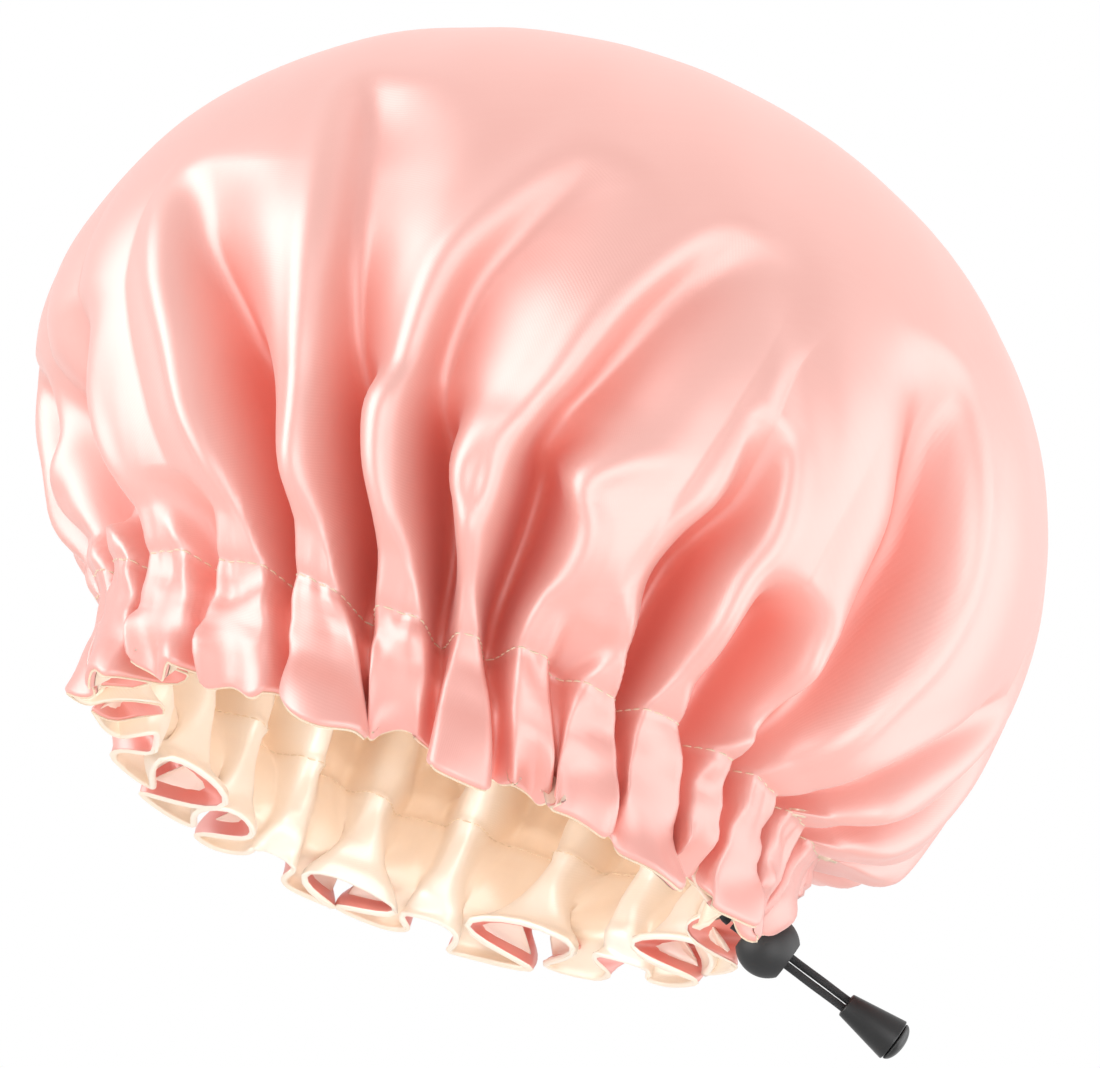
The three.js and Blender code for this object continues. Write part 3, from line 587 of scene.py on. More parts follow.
# how deep the folds draw the cloth in, and how far their rims hang over aside
def foldShape(turn, arc, radius):
    depth = np.zeros_like(turn)
    aside = np.zeros_like(turn)
    rows = arc[:, :1]
    for fold in folds:
        sink = np.maximum(alongFold(fold, 2, rows), 0)
        x = np.radians(turnBetween(turn, foldAngle(fold, rows))) * radius
        width = np.where(x < 0, alongFold(fold, 3, rows), alongFold(fold, 4, rows))
        width = width * mix(1, rim["topWide"], smooth(60, 110, arc))
        width = width * mix(rim["hemNarrow"], 1, smooth(12, 44, arc))
        crisp = 1 - smooth(rim["crispWidth"], rim["softWidth"], width)
        over = rim["overhang"] * crisp * smooth(stitchArc + 4, gather["fullAt"], arc) * smooth(0, 12, sink)
        u = np.abs(x) / (width + over)
        depth += sink * np.exp(-u ** mix(rim["soft"], rim["crisp"], crisp))
        lip = rim["lip"] * sink * crisp * smooth(stitchArc, gather["swellArc"], arc)
        depth -= lip * np.exp(-((u - rim["lipAt"]) / rim["spread"]) ** 2)
        aside -= np.sign(x) * over * np.exp(-((u - rim["overAt"]) / rim["spread"]) ** 2)
    for low, middle, high, widthLow, widthHigh, sink, soft in creases:
        centre = curveThrough((low, middle, high), arc)
        ends = smooth(low[0] - soft, low[0] + soft, arc) * (1 - smooth(high[0] - soft, high[0] + soft, arc))
        width = mix(widthLow, widthHigh, np.clip((arc - low[0]) / (high[0] - low[0]), 0, 1))
        x = np.radians(turnBetween(turn, centre)) * radius / width
        depth += sink * ends * np.exp(-x * x)
    return depth, aside


wholeTurn = 6.28


# uneven waves round the hem, by how many of each go round
def irregular(turn, waves, seed):
    pick = np.random.default_rng(seed)
    total = np.zeros_like(turn)
    for wave in waves:
        total += pick.uniform(0.5, 1) * np.sin(np.radians(turn) * wave + pick.uniform(0, wholeTurn))
    return total / len(waves)


# crossing waves that crease the casing
creasing = dict(waves=9, fewest=18, most=50, slant=0.35, seed=29)


def crumple(turn, arc):
    pick = np.random.default_rng(creasing["seed"])
    total = np.zeros_like(turn)
    for _ in range(creasing["waves"]):
        around = np.radians(turn) * pick.integers(creasing["fewest"], creasing["most"])
        slant = pick.uniform(-creasing["slant"], creasing["slant"]) * arc
        total += np.sin(around + slant + pick.uniform(0, wholeTurn))
    return total / math.sqrt(creasing["waves"])


# one value for each fold, eased from fold to fold
def smoothSteps(values):
    part = np.arange(columnsPerFold) / columnsPerFold
    ease = part * part * (3 - 2 * part)
    return (values[:, None] + (np.roll(values, -1) - values)[:, None] * ease).ravel()


# one value for each flap of the frill, passing evenly from flap to flap
def acrossFlaps(values):
    count = len(values)
    place = np.arange(count * columnsPerFold) / columnsPerFold - 0.5
    return np.interp(place, np.arange(-1, count + 1), np.concatenate([values[-1:], values, values[:1]]))


# one value for each fold, kept to the middle of the flaps beside it
def byFold(values):
    nearer = np.arange(columnsPerFold) < columnsPerFold / 2
    return np.where(nearer, values[:, None], np.roll(values, -1)[:, None]).ravel()


# one value for each flap, easing to the values of the folds beside it
def flapSteps(values, between):
    ease = np.sin(math.pi * np.arange(columnsPerFold) / columnsPerFold) ** 2
    return mix(byFold(between), np.repeat(values, columnsPerFold), np.tile(ease, len(values)))


# casing round the drawcord and the opening at the nape
casing = dict(slack=2.8, outerPuff=3, liningPuff=2.5, cordInset=2, layer=0.6,
              pucker=1.2, puckerAbove=13, puckerBelow=7, pinch=0.8, pinchWide=1.8,
              crumple=3.0, farCrumple=0.85, wander=3, wanderAbove=28, wanderBelow=7, farRise=7)
nape = dict(lift=16, flare=3, drawIn=11.5, farSpread=7.5, nearSpread=12, drawInSpread=12.5)
# the frill's free edge: how far it droops, waves, curls and laps
frill = dict(nearDroop=3.8, farDroop=2.6, farRaise=4, sag=1.6, edgeWave=3, curl=0.38, lap=3,
             nearRound=0.45, farRound=0.7, notch=(0.09, 0.22))
# above the stitching: the lining's billows and slow swells of the cloth
swelling = dict(billow=5, slow=0.9, slant=0.12)


def clothGrid(arcs):
    count = len(folds)
    index = np.repeat(np.arange(count), columnsPerFold)
    part = np.tile(np.arange(columnsPerFold) / columnsPerFold, count)
    arc = np.repeat(np.asarray(arcs, float)[:, None], len(index), 1)
    starts = np.stack([foldAngle(fold, arc[:, 0]) for fold in folds], 1)
    spans = turnBetween(np.roll(starts, -1, 1), starts)
    turn = starts[:, index] + spans[:, index] * part
    return turn, arc, part[None, :] + np.zeros_like(arc), spans[:, index]


# short puckers on both sides of the stitching, which pinches the cloth in
def seamPuckers(turn, arc):
    fade = np.where(arc > stitchArc, casing["puckerAbove"], casing["puckerBelow"])
    puckers = casing["pucker"] * irregular(turn, (61, 83, 97, 118, 143), 5)
    pinch = casing["pinch"] * np.exp(-((arc - stitchArc) / casing["pinchWide"]) ** 2)
    return puckers * np.exp(-np.abs(arc - stitchArc) / fade) - pinch


# how far the cloth above the stitching stands off the dome
def bodyStand(layer, turn, arc, part, depth, turned):
    swells = swelling["slow"] * irregular(turn + swelling["slant"] * arc, (9, 14, 19, 23), 8)
    swells = swells * smooth(40, 90, arc) * (1 - smooth(150, 240, arc))
    lift = np.maximum(gather["hemDepth"] / 2 * (1 - turned), 0.6 * depth.mean(1, keepdims=True))
    puff = gather["puff"] * np.sin(math.pi * part) * smooth(stitchArc, gather["swellArc"], arc)
    stand = lift - depth + puff * (1 - smooth(80, 130, arc)) + swells + seamPuckers(turn, arc)
    if layer == "lining":
        billow = np.sin(math.pi * part) ** 2 * smooth(stitchArc, 48, arc) * (1 - smooth(90, 150, arc))
        stand = stand - swelling["billow"] * billow
    return stand


# each flap's flare, hang, tilt and lean, each fold's pull on the edge and the width of its notch
def flapValues():
    pick = np.random.default_rng(3)
    least = (0.7, 0.3, -0.9, -1.5)
    most = (1.2, 1.7, 0.9, 1.5)
    farFlaps = pick.uniform(least, most, (len(farPulls), len(least)))
    notches = pick.uniform(*frill["notch"], len(folds))
    pulls = np.concatenate([farPulls, np.ones(len(nearFolds))])
    return *np.concatenate([farFlaps, nearFlaps]).T, pulls, notches


flares, hangs, tilts, leans, pulls, notches = flapValues()


# how far the frill below the stitching stands out of the dome's line
def frillStand(layer, turn, arc, share, swing, away, r):
    edgeSwing = mix(gather["nearSwing"], gather["farSwing"], away) * flapSteps(flares, pulls)
    free = swing * mix(edgeSwing, gather["hemDepth"] / 2, share)
    held = domeLine(turn, np.full_like(arc, stitchArc / 2))[0] - casing["cordInset"] - r
    if layer == "outer":
        held = held + casing["slack"] + casing["outerPuff"] * (1 + swing)
    else:
        held = held - casing["slack"] + casing["layer"] - casing["liningPuff"] * (1 - swing)
    reach = np.sin(math.pi * share)
    reach = np.where(share < 0.5, mix(reach, smooth(0.09, 0.4, share), away), reach)
    offCord = 1 - np.exp(-((share - 0.5) / 0.2) ** 2)
    rumple = casing["crumple"] * mix(1, casing["farCrumple"], away) * crumple(turn, arc)
    rumple = rumple * np.sin(math.pi * np.clip(share, 0.28, 1)) * offCord
    return mix(free, held, reach) + seamPuckers(turn, arc) + rumple


# how far the frill's edge hangs down
def frillHang(turn, part, away):
    notch = np.exp(-(np.minimum(part, 1 - part) / smoothSteps(notches)) ** 2)
    tilt = np.repeat(tilts, columnsPerFold) * (2 * part - 1) * (1 - notch)
    rounding = mix(frill["nearRound"], frill["farRound"], away)
    arch = 1 - rounding + rounding * np.sin(math.pi * part)
    level = np.repeat(hangs, columnsPerFold) * arch * (1 - notch) - notch * np.minimum(byFold(pulls), 1)
    hang = mix(frill["nearDroop"], frill["farDroop"], away) * (tilt + level)
    hang = hang + frill["sag"] * irregular(turn, (7, 11, 16), 21) - frill["farRaise"] * away
    return hang + frill["edgeWave"] * irregular(turn, (29, 41, 53, 67), 33) * (1 - away)


# how far the frill lies aside: far loops curl in at the neck, near flaps lap and lean
def frillAside(part, span, share, swing, away):
    curl = frill["curl"] * away * np.minimum(byFold(pulls), 1)
    curl = curl * np.radians(span) * dome["edgeRadius"] * np.sin(4 * math.pi * part)
    lap = frill["lap"] * (1 - away) * np.repeat(flares, columnsPerFold) * smooth(-0.3, 0.7, swing)
    lap = lap * np.sin(2 * math.pi * part)
    return curl * (1 - smooth(0, 0.9, share)) + (acrossFlaps(leans) - lap) * (1 - share)


def clothPoints(layer, arcs):
    turn, arc, part, span = clothGrid(arcs)
    r, z, outR, outZ = domeLine(turn, arc)
    depth, aside = foldShape(turn, arc, np.maximum(r, dome["edgeRadius"]))
    inCasing = arc < stitchArc
    share = np.clip(arc / stitchArc, 0, 1)
    away = smooth(-0.4, 0.4, np.sin(np.radians(turn)))
    swing = np.clip(1 - 2 * depth / gather["hemDepth"], -1, 1)
    swing = mix(swing, -np.cos(2 * math.pi * part), away * (1 - share))

    turned = smooth(stitchArc, gather["swellArc"], arc)
    stand = bodyStand(layer, turn, arc, part, depth, turned)
    leanR = mix(1, outR, turned)
    leanZ = outZ * turned
    length = np.hypot(leanR, leanZ)
    frillOut = frillStand(layer, turn, arc, share, swing, away, r)
    ringR = r + np.where(inCasing, frillOut, stand * leanR / length)
    drop = (1 - share) ** mix(2, 3, away) * frillHang(turn, part, away)
    ringZ = z + np.where(inCasing, -drop, stand * leanZ / length)
    wander = casing["wander"] * irregular(turn, (5, 9, 13, 19), 17) + casing["farRise"] * away
    fade = np.where(inCasing, casing["wanderBelow"], casing["wanderAbove"])
    ringZ = ringZ + wander * np.exp(-((arc - stitchArc) / fade) ** 2)

    napeTurn = turnBetween(turn, 0)
    opening = np.exp(-(napeTurn / np.where(napeTurn < 0, nape["nearSpread"], nape["farSpread"])) ** 2)
    aside = np.where(inCasing, frillAside(part, span, share, swing, away), aside) * (1 - opening)
    if layer == "outer":
        ringR = ringR + nape["flare"] * opening * (1 - share)
        ringZ = ringZ + nape["lift"] * opening * (1 - share)
    else:
        inner = (dome["stitchRadius"] + dome["edgeRadius"]) / 2 - casing["cordInset"] - nape["drawIn"]
        drawIn = nearTurn(turn, 0, nape["drawInSpread"]) * np.minimum(1, 2 * (1 - share))
        ringR = mix(ringR, inner, drawIn)
    angle = np.radians(turn) + aside / np.maximum(ringR, 20)
    shift = lean["domeShift"] * smooth(lean["shiftFrom"], lean["shiftTo"], arc)
    # painted shade mask: on the frill, more where it folds in; above it, in the folds' hollows by their
    # depth; none towards the crown
    paintedShade = np.where(inCasing, 0.65 - 0.35 * swing, smooth(2, 20, depth)) * (1 - smooth(100, 165, arc))
    return np.stack([ringR * np.cos(angle) + shift, ringR * np.sin(angle), ringZ], -1), paintedShade


def gridNormals(points):
    across = np.roll(points, -1, 1) - np.roll(points, 1, 1)
    up = np.gradient(points, axis=0)
    normal = np.cross(across, up)
    return normal / np.maximum(np.linalg.norm(normal, axis=-1), 1e-9)[..., None]


# rows of the cloth by arc: evenly in the casing, close above the stitching, then wider apart
rowPlan = dict(casing=14, above=(0.8, 1.7, 2.8, 4.1, 5.6),
               runs=((33, 120, 2), (120, 200, 3), (200, 290, 6)), halveAt=(150, 230))


def clothArcs():
    low = np.linspace(0, stitchArc, rowPlan["casing"])
    start = stitchArc + np.array(rowPlan["above"])
    return np.concatenate([low, start, *(np.arange(*run) for run in rowPlan["runs"])])


# one sheet from lines of points; lines nearer the crown keep fewer columns
def sheetPiece(name, lines, arcs, paintedShades, crown, material, inward):
    columns = lines.shape[1]
    points = []
    places = []
    paintedShadeValues = []
    starts = []
    steps = []
    for line, arc, paintedShade in zip(lines, arcs, paintedShades):
        step = 2 ** sum(arc >= limit for limit in rowPlan["halveAt"])
        keep = np.arange(0, columns, step)
        starts.append(len(points))
        steps.append(step)
        points.extend(line[keep])
        paintedShadeValues.extend(paintedShade[keep])
        spread = 2 * np.pi * keep / columns
        reach = crownArc - arc
        places.extend(np.stack([reach * np.cos(spread), reach * np.sin(spread)], 1) / clothCut + 0.5)
    faces = []
    for i in range(len(lines) - 1):
        near, far = steps[i], steps[i + 1]
        nearCount, farCount = columns // near, columns // far
        ratio = far // near
        for j in range(farCount):
            low = [starts[i] + (j * ratio + k) % nearCount for k in range(ratio + 1)]
            faces.append(low + [starts[i + 1] + (j + 1) % farCount, starts[i + 1] + j])
    top = len(points)
    points.append(crown)
    places.append((0.5, 0.5))
    paintedShadeValues.append(0)
    count = columns // steps[-1]
    for j in range(count):
        faces.append([starts[-1] + j, starts[-1] + (j + 1) % count, top])
    if inward:
        faces = [face[::-1] for face in faces]
    piece = meshPiece(name, points, faces, material)
    setMap(piece, "cut", places)
    # each point keeps its painted shade, which the satin's colour reads
    paintedShading = piece.data.attributes.new("paintedShade", "FLOAT", "POINT")
    paintedShading.data.foreach_set("value", np.array(paintedShadeValues, np.float32))
    return piece


# the outer layer turns under at the edge, more where the frill stands out;
# on the far side the lining rolls out round that edge, and at the nape the two aren't sewn together
edge = dict(tight=0.6, loose=1.3, far=0.7, turns=7, rowArc=0.9, underEnd=165, seat=0.15,
            nearLip=0.15, farLip=0.42, nearLipEnd=160, farLipEnd=30, unsewn=4, hemGap=0.5, layerGap=1.3)
# painted shade on the lining, growing deeper inside between these arcs, and how much
liningDepthShade = dict(share=0.35, arcFrom=25, arcTo=75)


def makeCloth():
    arcs = clothArcs()
    outer, outerShadeMask = clothPoints("outer", arcs)
    outerNormals = gridNormals(outer)
    lining, liningShadeMask = clothPoints("lining", arcs)
    liningNormals = gridNormals(lining)
    stitchRow = rowPlan["casing"] - 1

    reachOut = np.hypot(outer[0, :, 0], outer[0, :, 1])
    loose = smooth(dome["edgeRadius"] - 4, dome["edgeRadius"] + 8, reachOut)
    away = smooth(-0.4, 0.4, outer[0, :, 1] / reachOut)
    roll = mix(mix(edge["tight"], edge["loose"], loose), edge["far"], away)[:, None]
    inwards = -outerNormals[0]
    down = outer[0] - outer[1]
    down /= np.linalg.norm(down, axis=1)[:, None]
    under = []
    for k in range(edge["turns"], 0, -1):
        turn = math.radians(edge["underEnd"]) * k / edge["turns"]
        under.append(outer[0] + inwards * roll * (1 - math.cos(turn)) + down * roll * math.sin(turn))
    under = np.array(under)
    underArcs = -np.arange(edge["turns"], 0, -1) * edge["rowArc"]
    outerRows = np.concatenate([under, outer])
    outerArcs = np.concatenate([underArcs, arcs])
    outerShadeMask = np.concatenate([np.repeat(outerShadeMask[:1], edge["turns"], 0), outerShadeMask])

    share = np.clip(arcs / stitchArc, 0, 1)[:, None, None]
    gap = np.where(share < 1, edge["hemGap"], edge["layerGap"])
    lining = lining - liningNormals * gap
    hemJoin = under[0] + inwards * edge["seat"]
    napeTurn = np.degrees(np.arctan2(outer[0, :, 1], outer[0, :, 0]))
    unsewn = np.exp(-(napeTurn / edge["unsewn"]) ** 4)[:, None]
    meet = (1 - smooth(0, 0.45, share)) * (1 - unsewn)
    lining = lining + (hemJoin - lining[0]) * meet

    lip = roll + mix(edge["nearLip"], edge["farLip"], away)[:, None]
    lipEnd = mix(edge["nearLipEnd"], edge["farLipEnd"], away)[:, None]
    over = []
    for k in range(edge["turns"], 0, -1):
        turn = np.radians(mix(edge["underEnd"], lipEnd, k / edge["turns"]))
        rolled = outer[0] + inwards * (roll - lip * np.cos(turn)) + down * lip * np.sin(turn)
        over.append(rolled + lining[0] - hemJoin)
    liningRows = np.concatenate([over, lining])
    # the lining's painted shade: where the outer's folds stand out, which are creases seen from inside, and
    # deeper inside the crown
    paintedShading = smooth(liningDepthShade["arcFrom"], liningDepthShade["arcTo"], arcs)[:, None]
    shade = 1 - liningShadeMask + liningDepthShade["share"] * paintedShading
    shade = np.clip(np.concatenate([np.repeat(shade[:1], edge["turns"], 0), shade]), 0, 1)

    crown = (lean["domeShift"], 0, dome["crownHeight"])
    inside = (lean["domeShift"], 0, dome["crownHeight"] - edge["layerGap"])
    outerPiece = sheetPiece("outer_satin", outerRows, outerArcs, outerShadeMask, crown, satinPink, False)
    liningPiece = sheetPiece("lining_satin", liningRows, outerArcs, shade, inside, satinCream, True)
    lines = dict(needle=(outer[stitchRow], outerNormals[stitchRow]),
                 bobbin=(lining[stitchRow], -liningNormals[stitchRow]),
                 edge=(under[edge["turns"] // 2], down))
    return outerPiece, liningPiece, lines


outerCloth, liningCloth, seamLines = makeCloth()
print("cloth laid", len(outerCloth.data.polygons), len(liningCloth.data.polygons))

# separate stitches along a line: each a short bent thread that dips at both ends
stitch = dict(pitch=3.1, length=2.7, radius=0.24, sides=5, rings=5, lift=0.3, sink=0.15,
              stray=0.05, halves=(0.46, 0.52), thinEnds=0.6)


def stitchPiece(name, line, node):
    path, normal = line
    loop = np.concatenate([path, path[:1]])
    ways = np.concatenate([normal, normal[:1]])
    run = np.concatenate([[0], np.cumsum(np.linalg.norm(np.diff(loop, axis=0), axis=1))])
    count = int(run[-1] / stitch["pitch"])
    pick = np.random.default_rng(11)
    points = []
    faces = []
    for i in range(count):
        middle = (i + 0.5 + pick.uniform(-stitch["stray"], stitch["stray"])) * run[-1] / count
        half = stitch["length"] * pick.uniform(*stitch["halves"])
        places = middle + np.linspace(-half, half, stitch["rings"])
        spots = np.stack([np.interp(places, run, loop[:, k]) for k in range(3)], 1)
        out = np.stack([np.interp(places, run, ways[:, k]) for k in range(3)], 1)
        bow = np.sin(np.linspace(0, math.pi, stitch["rings"]))
        spots += out * (stitch["lift"] * bow - stitch["sink"])[:, None]
        thick = stitch["radius"] * mix(stitch["thinEnds"], 1, bow)
        made, rings = tubePoints(spots, thick, stitch["sides"], False)
        faces += [[len(points) + k for k in face] for face in rings]
        points.extend(made)
    piece = meshPiece(name, points, faces, creamThread)
    settle(piece, "bonnet", node)
    return piece


needleStitches = stitchPiece("needle_stitches", seamLines["needle"], "topstitch_needle_thread")
bobbinStitches = stitchPiece("bobbin_stitches", seamLines["bobbin"], "topstitch_bobbin_thread")

# the seam along the edge shows as a fine cream cord, with a gap at the nape
seam = dict(radius=0.3, sides=7, proud=0.1, gap=9)


def edgePiece():
    path, down = seamLines["edge"]
    sewn = np.abs(np.degrees(np.arctan2(path[:, 1], path[:, 0]))) > seam["gap"]
    kept = path[sewn] + down[sewn] * seam["proud"]
    first = np.argmin(np.degrees(np.arctan2(kept[:, 1], kept[:, 0])) % 360)
    kept = np.roll(kept, -first, 0)
    points, faces = tubePoints(kept, seam["radius"], seam["sides"], False)
    piece = meshPiece("edge_seam", points, faces, creamThread)
    settle(piece, "bonnet", "edge_seam_thread")
    return piece


edgeSeam = edgePiece()
for sheet, node, slot, extra in (
        (outerCloth, "outer_shell", "satin_outer", [needleStitches, edgeSeam]),
        (liningCloth, "lining", "satin_lining", [bobbinStitches])):
    settle(sheet, "bonnet", node)
print("seams sewn")

# drawcord: two ends from the nape back to the ring in the casing, as in the solid;
# each stop is back from the exit, aside, up, and the share of the twin cords' offset
drawn = dict(route=((1.4, 0, 0.4, 1), (3.4, 0.8, 1.2, 1), (4.5, 4.2, 2.6, 0.7), (4.2, 9.5, 4, 0.35),
                    (2.5, 17, 5.6, 0.1)),
             ringFrom=20, ringStep=10, sides=10, steps=6)


def smoothPath(stops, steps):
    stops = np.asarray(stops, float)
    padded = np.concatenate([[2 * stops[0] - stops[1]], stops, [2 * stops[-1] - stops[-2]]])
    path = []
    for a, b, c, d in zip(padded, padded[1:], padded[2:], padded[3:]):
        for t in np.arange(steps) / steps:
            path.append(0.5 * (2 * b + (c - a) * t + (2 * a - 5 * b + 4 * c - d) * t ** 2
                               + (3 * b - a - 3 * c + d) * t ** 3))
    return np.array(path + [stops[-1]])


def makeDrawcord():
    x, _, z = tail["exit"]
    ends = {}
    for side in (1, -1):
        ends[side] = [(x - back, side * aside, z + up + side * tail["twinOffset"] * part)
                      for back, aside, up, part in drawn["route"]]
    ring = []
    for angle in range(drawn["ringFrom"], 361 - drawn["ringFrom"], drawn["ringStep"]):
        turn = math.radians(angle)
        r, height, _, _ = domeLine(np.array(float(angle)), np.array(stitchArc / 2))
        r = r - casing["cordInset"]
        ring.append((r * math.cos(turn), r * math.sin(turn), height))
    path = smoothPath(ends[1] + ring + ends[-1][::-1], drawn["steps"])
    cordPiece("drawn_elastic", path, drawn["sides"], "bonnet", "drawcord")


makeDrawcord()
print("drawcord threaded")


# hard pieces are modelled along X at the tail's start, then moved to their place
def clearSelection():
    if bpy.context.object and bpy.context.object.mode != "OBJECT":
        bpy.ops.object.mode_set(mode="OBJECT")
    bpy.ops.object.select_all(action="DESELECT")


# picks some faces or points of a piece, ready to be moved
def pickOut(piece, candidates, test):
    bpy.ops.object.mode_set(mode="OBJECT")
    for kind in (piece.data.vertices, piece.data.edges, piece.data.polygons):
        kind.foreach_set("select", [False] * len(kind))
    for candidate in candidates:
        candidate.select = test(candidate)
    bpy.ops.object.mode_set(mode="EDIT")


def addCylinder(radius, start, end, axis, sides=64):
    clearSelection()
    turn = (0, math.pi / 2, 0) if axis == "x" else (0, 0, 0)
    middle = (start + end) / 2 * mm
    place = (middle, 0, 0) if axis == "x" else (0, 0, middle)
    bpy.ops.mesh.primitive_cylinder_add(
        vertices=sides, radius=radius * mm, depth=(end - start) * mm, location=place, rotation=turn)
    bpy.ops.object.transform_apply(location=True, rotation=True)
    return bpy.context.object


def addSlot(width, height, start, end):
    cutter = addCylinder(height / 2, start, end, "x", 32)
    for side in (-1, 1):
        pickOut(cutter, cutter.data.vertices, lambda point: point.co.y * side > 0.01 * mm)
        bpy.ops.transform.translate(value=(0, side * (width - height) / 2 * mm, 0))
    bpy.ops.object.mode_set(mode="OBJECT")
    return cutter


def cutWith(piece, *cutters):
    for cutter in cutters:
        step = piece.modifiers.new("cut", "BOOLEAN")
        step.operation = "DIFFERENCE"
        step.solver = "EXACT"
        step.object = cutter
        applyStep(piece, step)
        bpy.data.objects.remove(cutter)


def applyStep(piece, step):
    clearSelection()
    piece.select_set(True)
    bpy.context.view_layer.objects.active = piece
    bpy.ops.object.modifier_apply(modifier=step.name)


def softenEdges(piece, width, segments=3, angle=35):
    step = piece.modifiers.new("soften", "BEVEL")
    step.width = width * mm
    step.segments = segments
    step.limit_method = "ANGLE"
    step.angle_limit = math.radians(angle)
    applyStep(piece, step)


def finishHard(piece, name, material, along, body, node):
    clearSelection()
    piece.select_set(True)
    bpy.context.view_layer.objects.active = piece
    bpy.ops.object.shade_smooth_by_angle(angle=math.radians(38))
    place = tailPlace.copy()
    place.translation *= mm
    piece.data.transform(place @ Matrix.Translation((along * mm, 0, 0)))
    piece.name = name
    piece.data.name = name
    piece.data.materials.clear()
    piece.data.materials.append(material)
    settle(piece, body, node)
    return piece


# ball-shaped cord lock with a spring button
lock = dict(radius=8, flatAt=6.245, centre=10.045, boreRadius=3.9, boreTop=6.7, slot=(4.9, 2.6),
            boreFrom=-20, slotReach=12, soften=0.35)
button = dict(radius=3.7, top=2.9, proud=3.0, rim=0.9, dish=0.6, domeRim=1.2, dome=0.1,
              windowTop=1.3, windowBottom=-3.3, windowLength=16, soften=0.2)
coil = dict(wire=0.2, radius=3.3, turns=3, low=3.4, high=6.2, stepsPerTurn=16)


def makeLockBody():
    clearSelection()
    bpy.ops.mesh.primitive_uv_sphere_add(
        segments=72, ring_count=48, radius=lock["radius"] * mm, rotation=(0, math.pi / 2, 0))
    bpy.ops.object.transform_apply(rotation=True)
    ball = bpy.context.object
    bpy.ops.object.mode_set(mode="EDIT")
    for side in (-1, 1):
        bpy.ops.mesh.select_all(action="SELECT")
        flat = (side * lock["flatAt"] * mm, 0, 0)
        bpy.ops.mesh.bisect(plane_co=flat, plane_no=(side, 0, 0), use_fill=True, clear_outer=True)
    bpy.ops.object.mode_set(mode="OBJECT")
    bore = addCylinder(lock["boreRadius"], lock["boreFrom"], lock["boreTop"], "z", 48)
    cutWith(ball, bore, addSlot(*lock["slot"], -lock["slotReach"], lock["slotReach"]))
    softenEdges(ball, lock["soften"])
    return finishHard(ball, "ball_lock", ballPlastic, lock["centre"], "lock", "lock_body")


def makeButton():
    mouth = math.sqrt(lock["radius"] ** 2 - lock["boreRadius"] ** 2)
    bottom = -mouth - button["proud"]
    rod = addCylinder(button["radius"], bottom, button["top"], "z", 48)
    pickOut(rod, rod.data.polygons, lambda face: face.normal.z < -0.9)
    for inset, out in ((button["rim"], button["dish"]), (button["domeRim"], button["dome"])):
        bpy.ops.mesh.inset(thickness=inset * mm)
        bpy.ops.transform.translate(value=(0, 0, -out * mm))
    clearSelection()
    low, high = button["windowBottom"], button["windowTop"]
    bpy.ops.mesh.primitive_cube_add(size=mm, location=(0, 0, (low + high) / 2 * mm))
    bpy.context.object.scale = (button["windowLength"], lock["slot"][0], high - low)
    bpy.ops.object.transform_apply(location=True, scale=True)
    cutWith(rod, bpy.context.object)
    softenEdges(rod, button["soften"], 2, 25)
    return finishHard(rod, "lock_button", ballPlastic, lock["centre"], "plunger", "lock_plunger")


def makeCoil():
    turns = np.linspace(0, 2 * np.pi * coil["turns"], coil["stepsPerTurn"] * coil["turns"] + 1)
    heights = np.linspace(coil["low"], coil["high"], len(turns))
    path = [(lock["centre"] + coil["radius"] * math.cos(t), coil["radius"] * math.sin(t), h)
            for t, h in zip(turns, heights)]
    points, faces = tubePoints(tailPoints(path), coil["wire"], 8, False)
    piece = meshPiece("lock_coil", points, faces, springSteel)
    settle(piece, "lock", "lock_spring")
    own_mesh(piece)
    return piece


# cord end: a hollow cone, its domed lid and the knot inside
bell = dict(start=34, end=48.5, neck=3.1, mouth=5.6, cavity=4.0, cavityDepth=8, gap=0.3,
            slotBefore=5, slotShort=4, soften=0.45)
lid = dict(rim=5.1, dome=2.5, plug=1.6, plugGap=0.2, soften=0.25)
knot = dict(steps=72, sides=10, radius=0.85, along=1.55, across=0.78, layAlong=0.4, layAround=0.55)


def makeBell():
    cone = addCylinder(bell["neck"], bell["start"], bell["end"], "x", 72)
    pickOut(cone, cone.data.polygons, lambda face: face.normal.x > 0.9)
    wide = bell["mouth"] / bell["neck"]
    bpy.ops.transform.resize(value=(1, wide, wide))
    bpy.ops.mesh.inset(thickness=(bell["mouth"] - bell["cavity"]) * mm)
    bpy.ops.mesh.extrude_region_move(TRANSFORM_OT_translate={"value": (-bell["cavityDepth"] * mm, 0, 0)})
    bpy.ops.object.mode_set(mode="OBJECT")
    slotStart = bell["start"] - bell["slotBefore"]
    cutWith(cone, addSlot(*lock["slot"], slotStart, bell["end"] - bell["slotShort"]))
    softenEdges(cone, bell["soften"], 4)
    return finishHard(cone, "cord_end", bellPlastic, 0, "tail", "cord_bell")


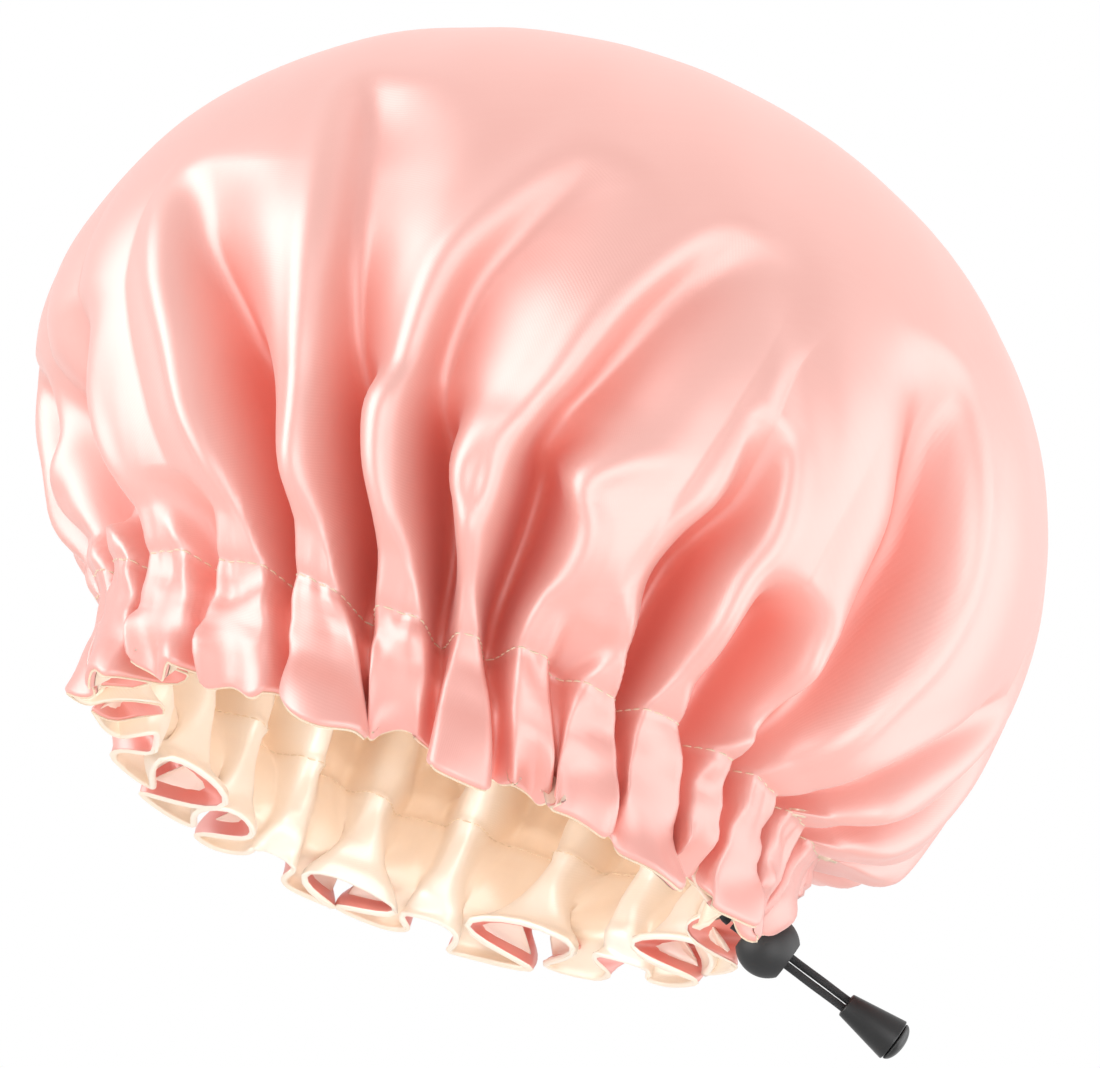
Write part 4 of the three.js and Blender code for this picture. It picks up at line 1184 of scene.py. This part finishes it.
def makeLid():
    seat = bell["end"] + bell["gap"]
    clearSelection()
    bpy.ops.mesh.primitive_uv_sphere_add(
        segments=72, ring_count=36, radius=lid["rim"] * mm, rotation=(0, math.pi / 2, 0))
    bpy.ops.object.transform_apply(rotation=True)
    cap = bpy.context.object
    bpy.ops.object.mode_set(mode="EDIT")
    bpy.ops.mesh.select_all(action="SELECT")
    bpy.ops.mesh.bisect(plane_co=(0, 0, 0), plane_no=(-1, 0, 0), use_fill=True, clear_outer=True)
    bpy.ops.mesh.select_all(action="SELECT")
    bpy.ops.transform.resize(value=(lid["dome"] / lid["rim"], 1, 1), center_override=(0, 0, 0))
    pickOut(cap, cap.data.polygons, lambda face: face.normal.x < -0.9)
    bpy.ops.mesh.inset(thickness=(lid["rim"] - bell["cavity"] + lid["plugGap"]) * mm)
    bpy.ops.mesh.extrude_region_move(TRANSFORM_OT_translate={"value": (-lid["plug"] * mm, 0, 0)})
    softenEdges(cap, lid["soften"], 2, 50)
    return finishHard(cap, "cord_end_lid", bellPlastic, seat, "tail", "bell_lid")


# a trefoil of cord between the bell's floor and the lid's plug
def makeKnot():
    turns = np.linspace(0, 2 * np.pi, knot["steps"], endpoint=False)
    middle = (bell["end"] - bell["cavityDepth"] + bell["gap"] + bell["end"] - lid["plug"]) / 2
    path = [(middle + knot["along"] * math.sin(3 * t), knot["across"] * (math.sin(t) + 2 * math.sin(2 * t)),
             knot["across"] * (math.cos(t) - 2 * math.cos(2 * t))) for t in turns]
    points, faces = tubePoints(tailPoints(path), knot["radius"], knot["sides"], True)
    piece = meshPiece("tail_knot", points, faces, braidedElastic)
    along = np.repeat(np.arange(knot["steps"]) * knot["layAlong"], knot["sides"])
    around = np.tile(np.arange(knot["sides"]) * knot["layAround"], knot["steps"])
    setMap(piece, "lay", np.stack([along, around], 1))
    settle(piece, "tail", "cord_knot")
    return piece


hardware = [makeLockBody(), makeButton(), makeCoil(), makeBell(), makeLid(), makeKnot()]
for name, (piece, path) in tails.items():
    tuple(path[0] * mm)
    (path * mm).tolist()
    hardware if name == "tail_cord_right" else []
print("hardware made")
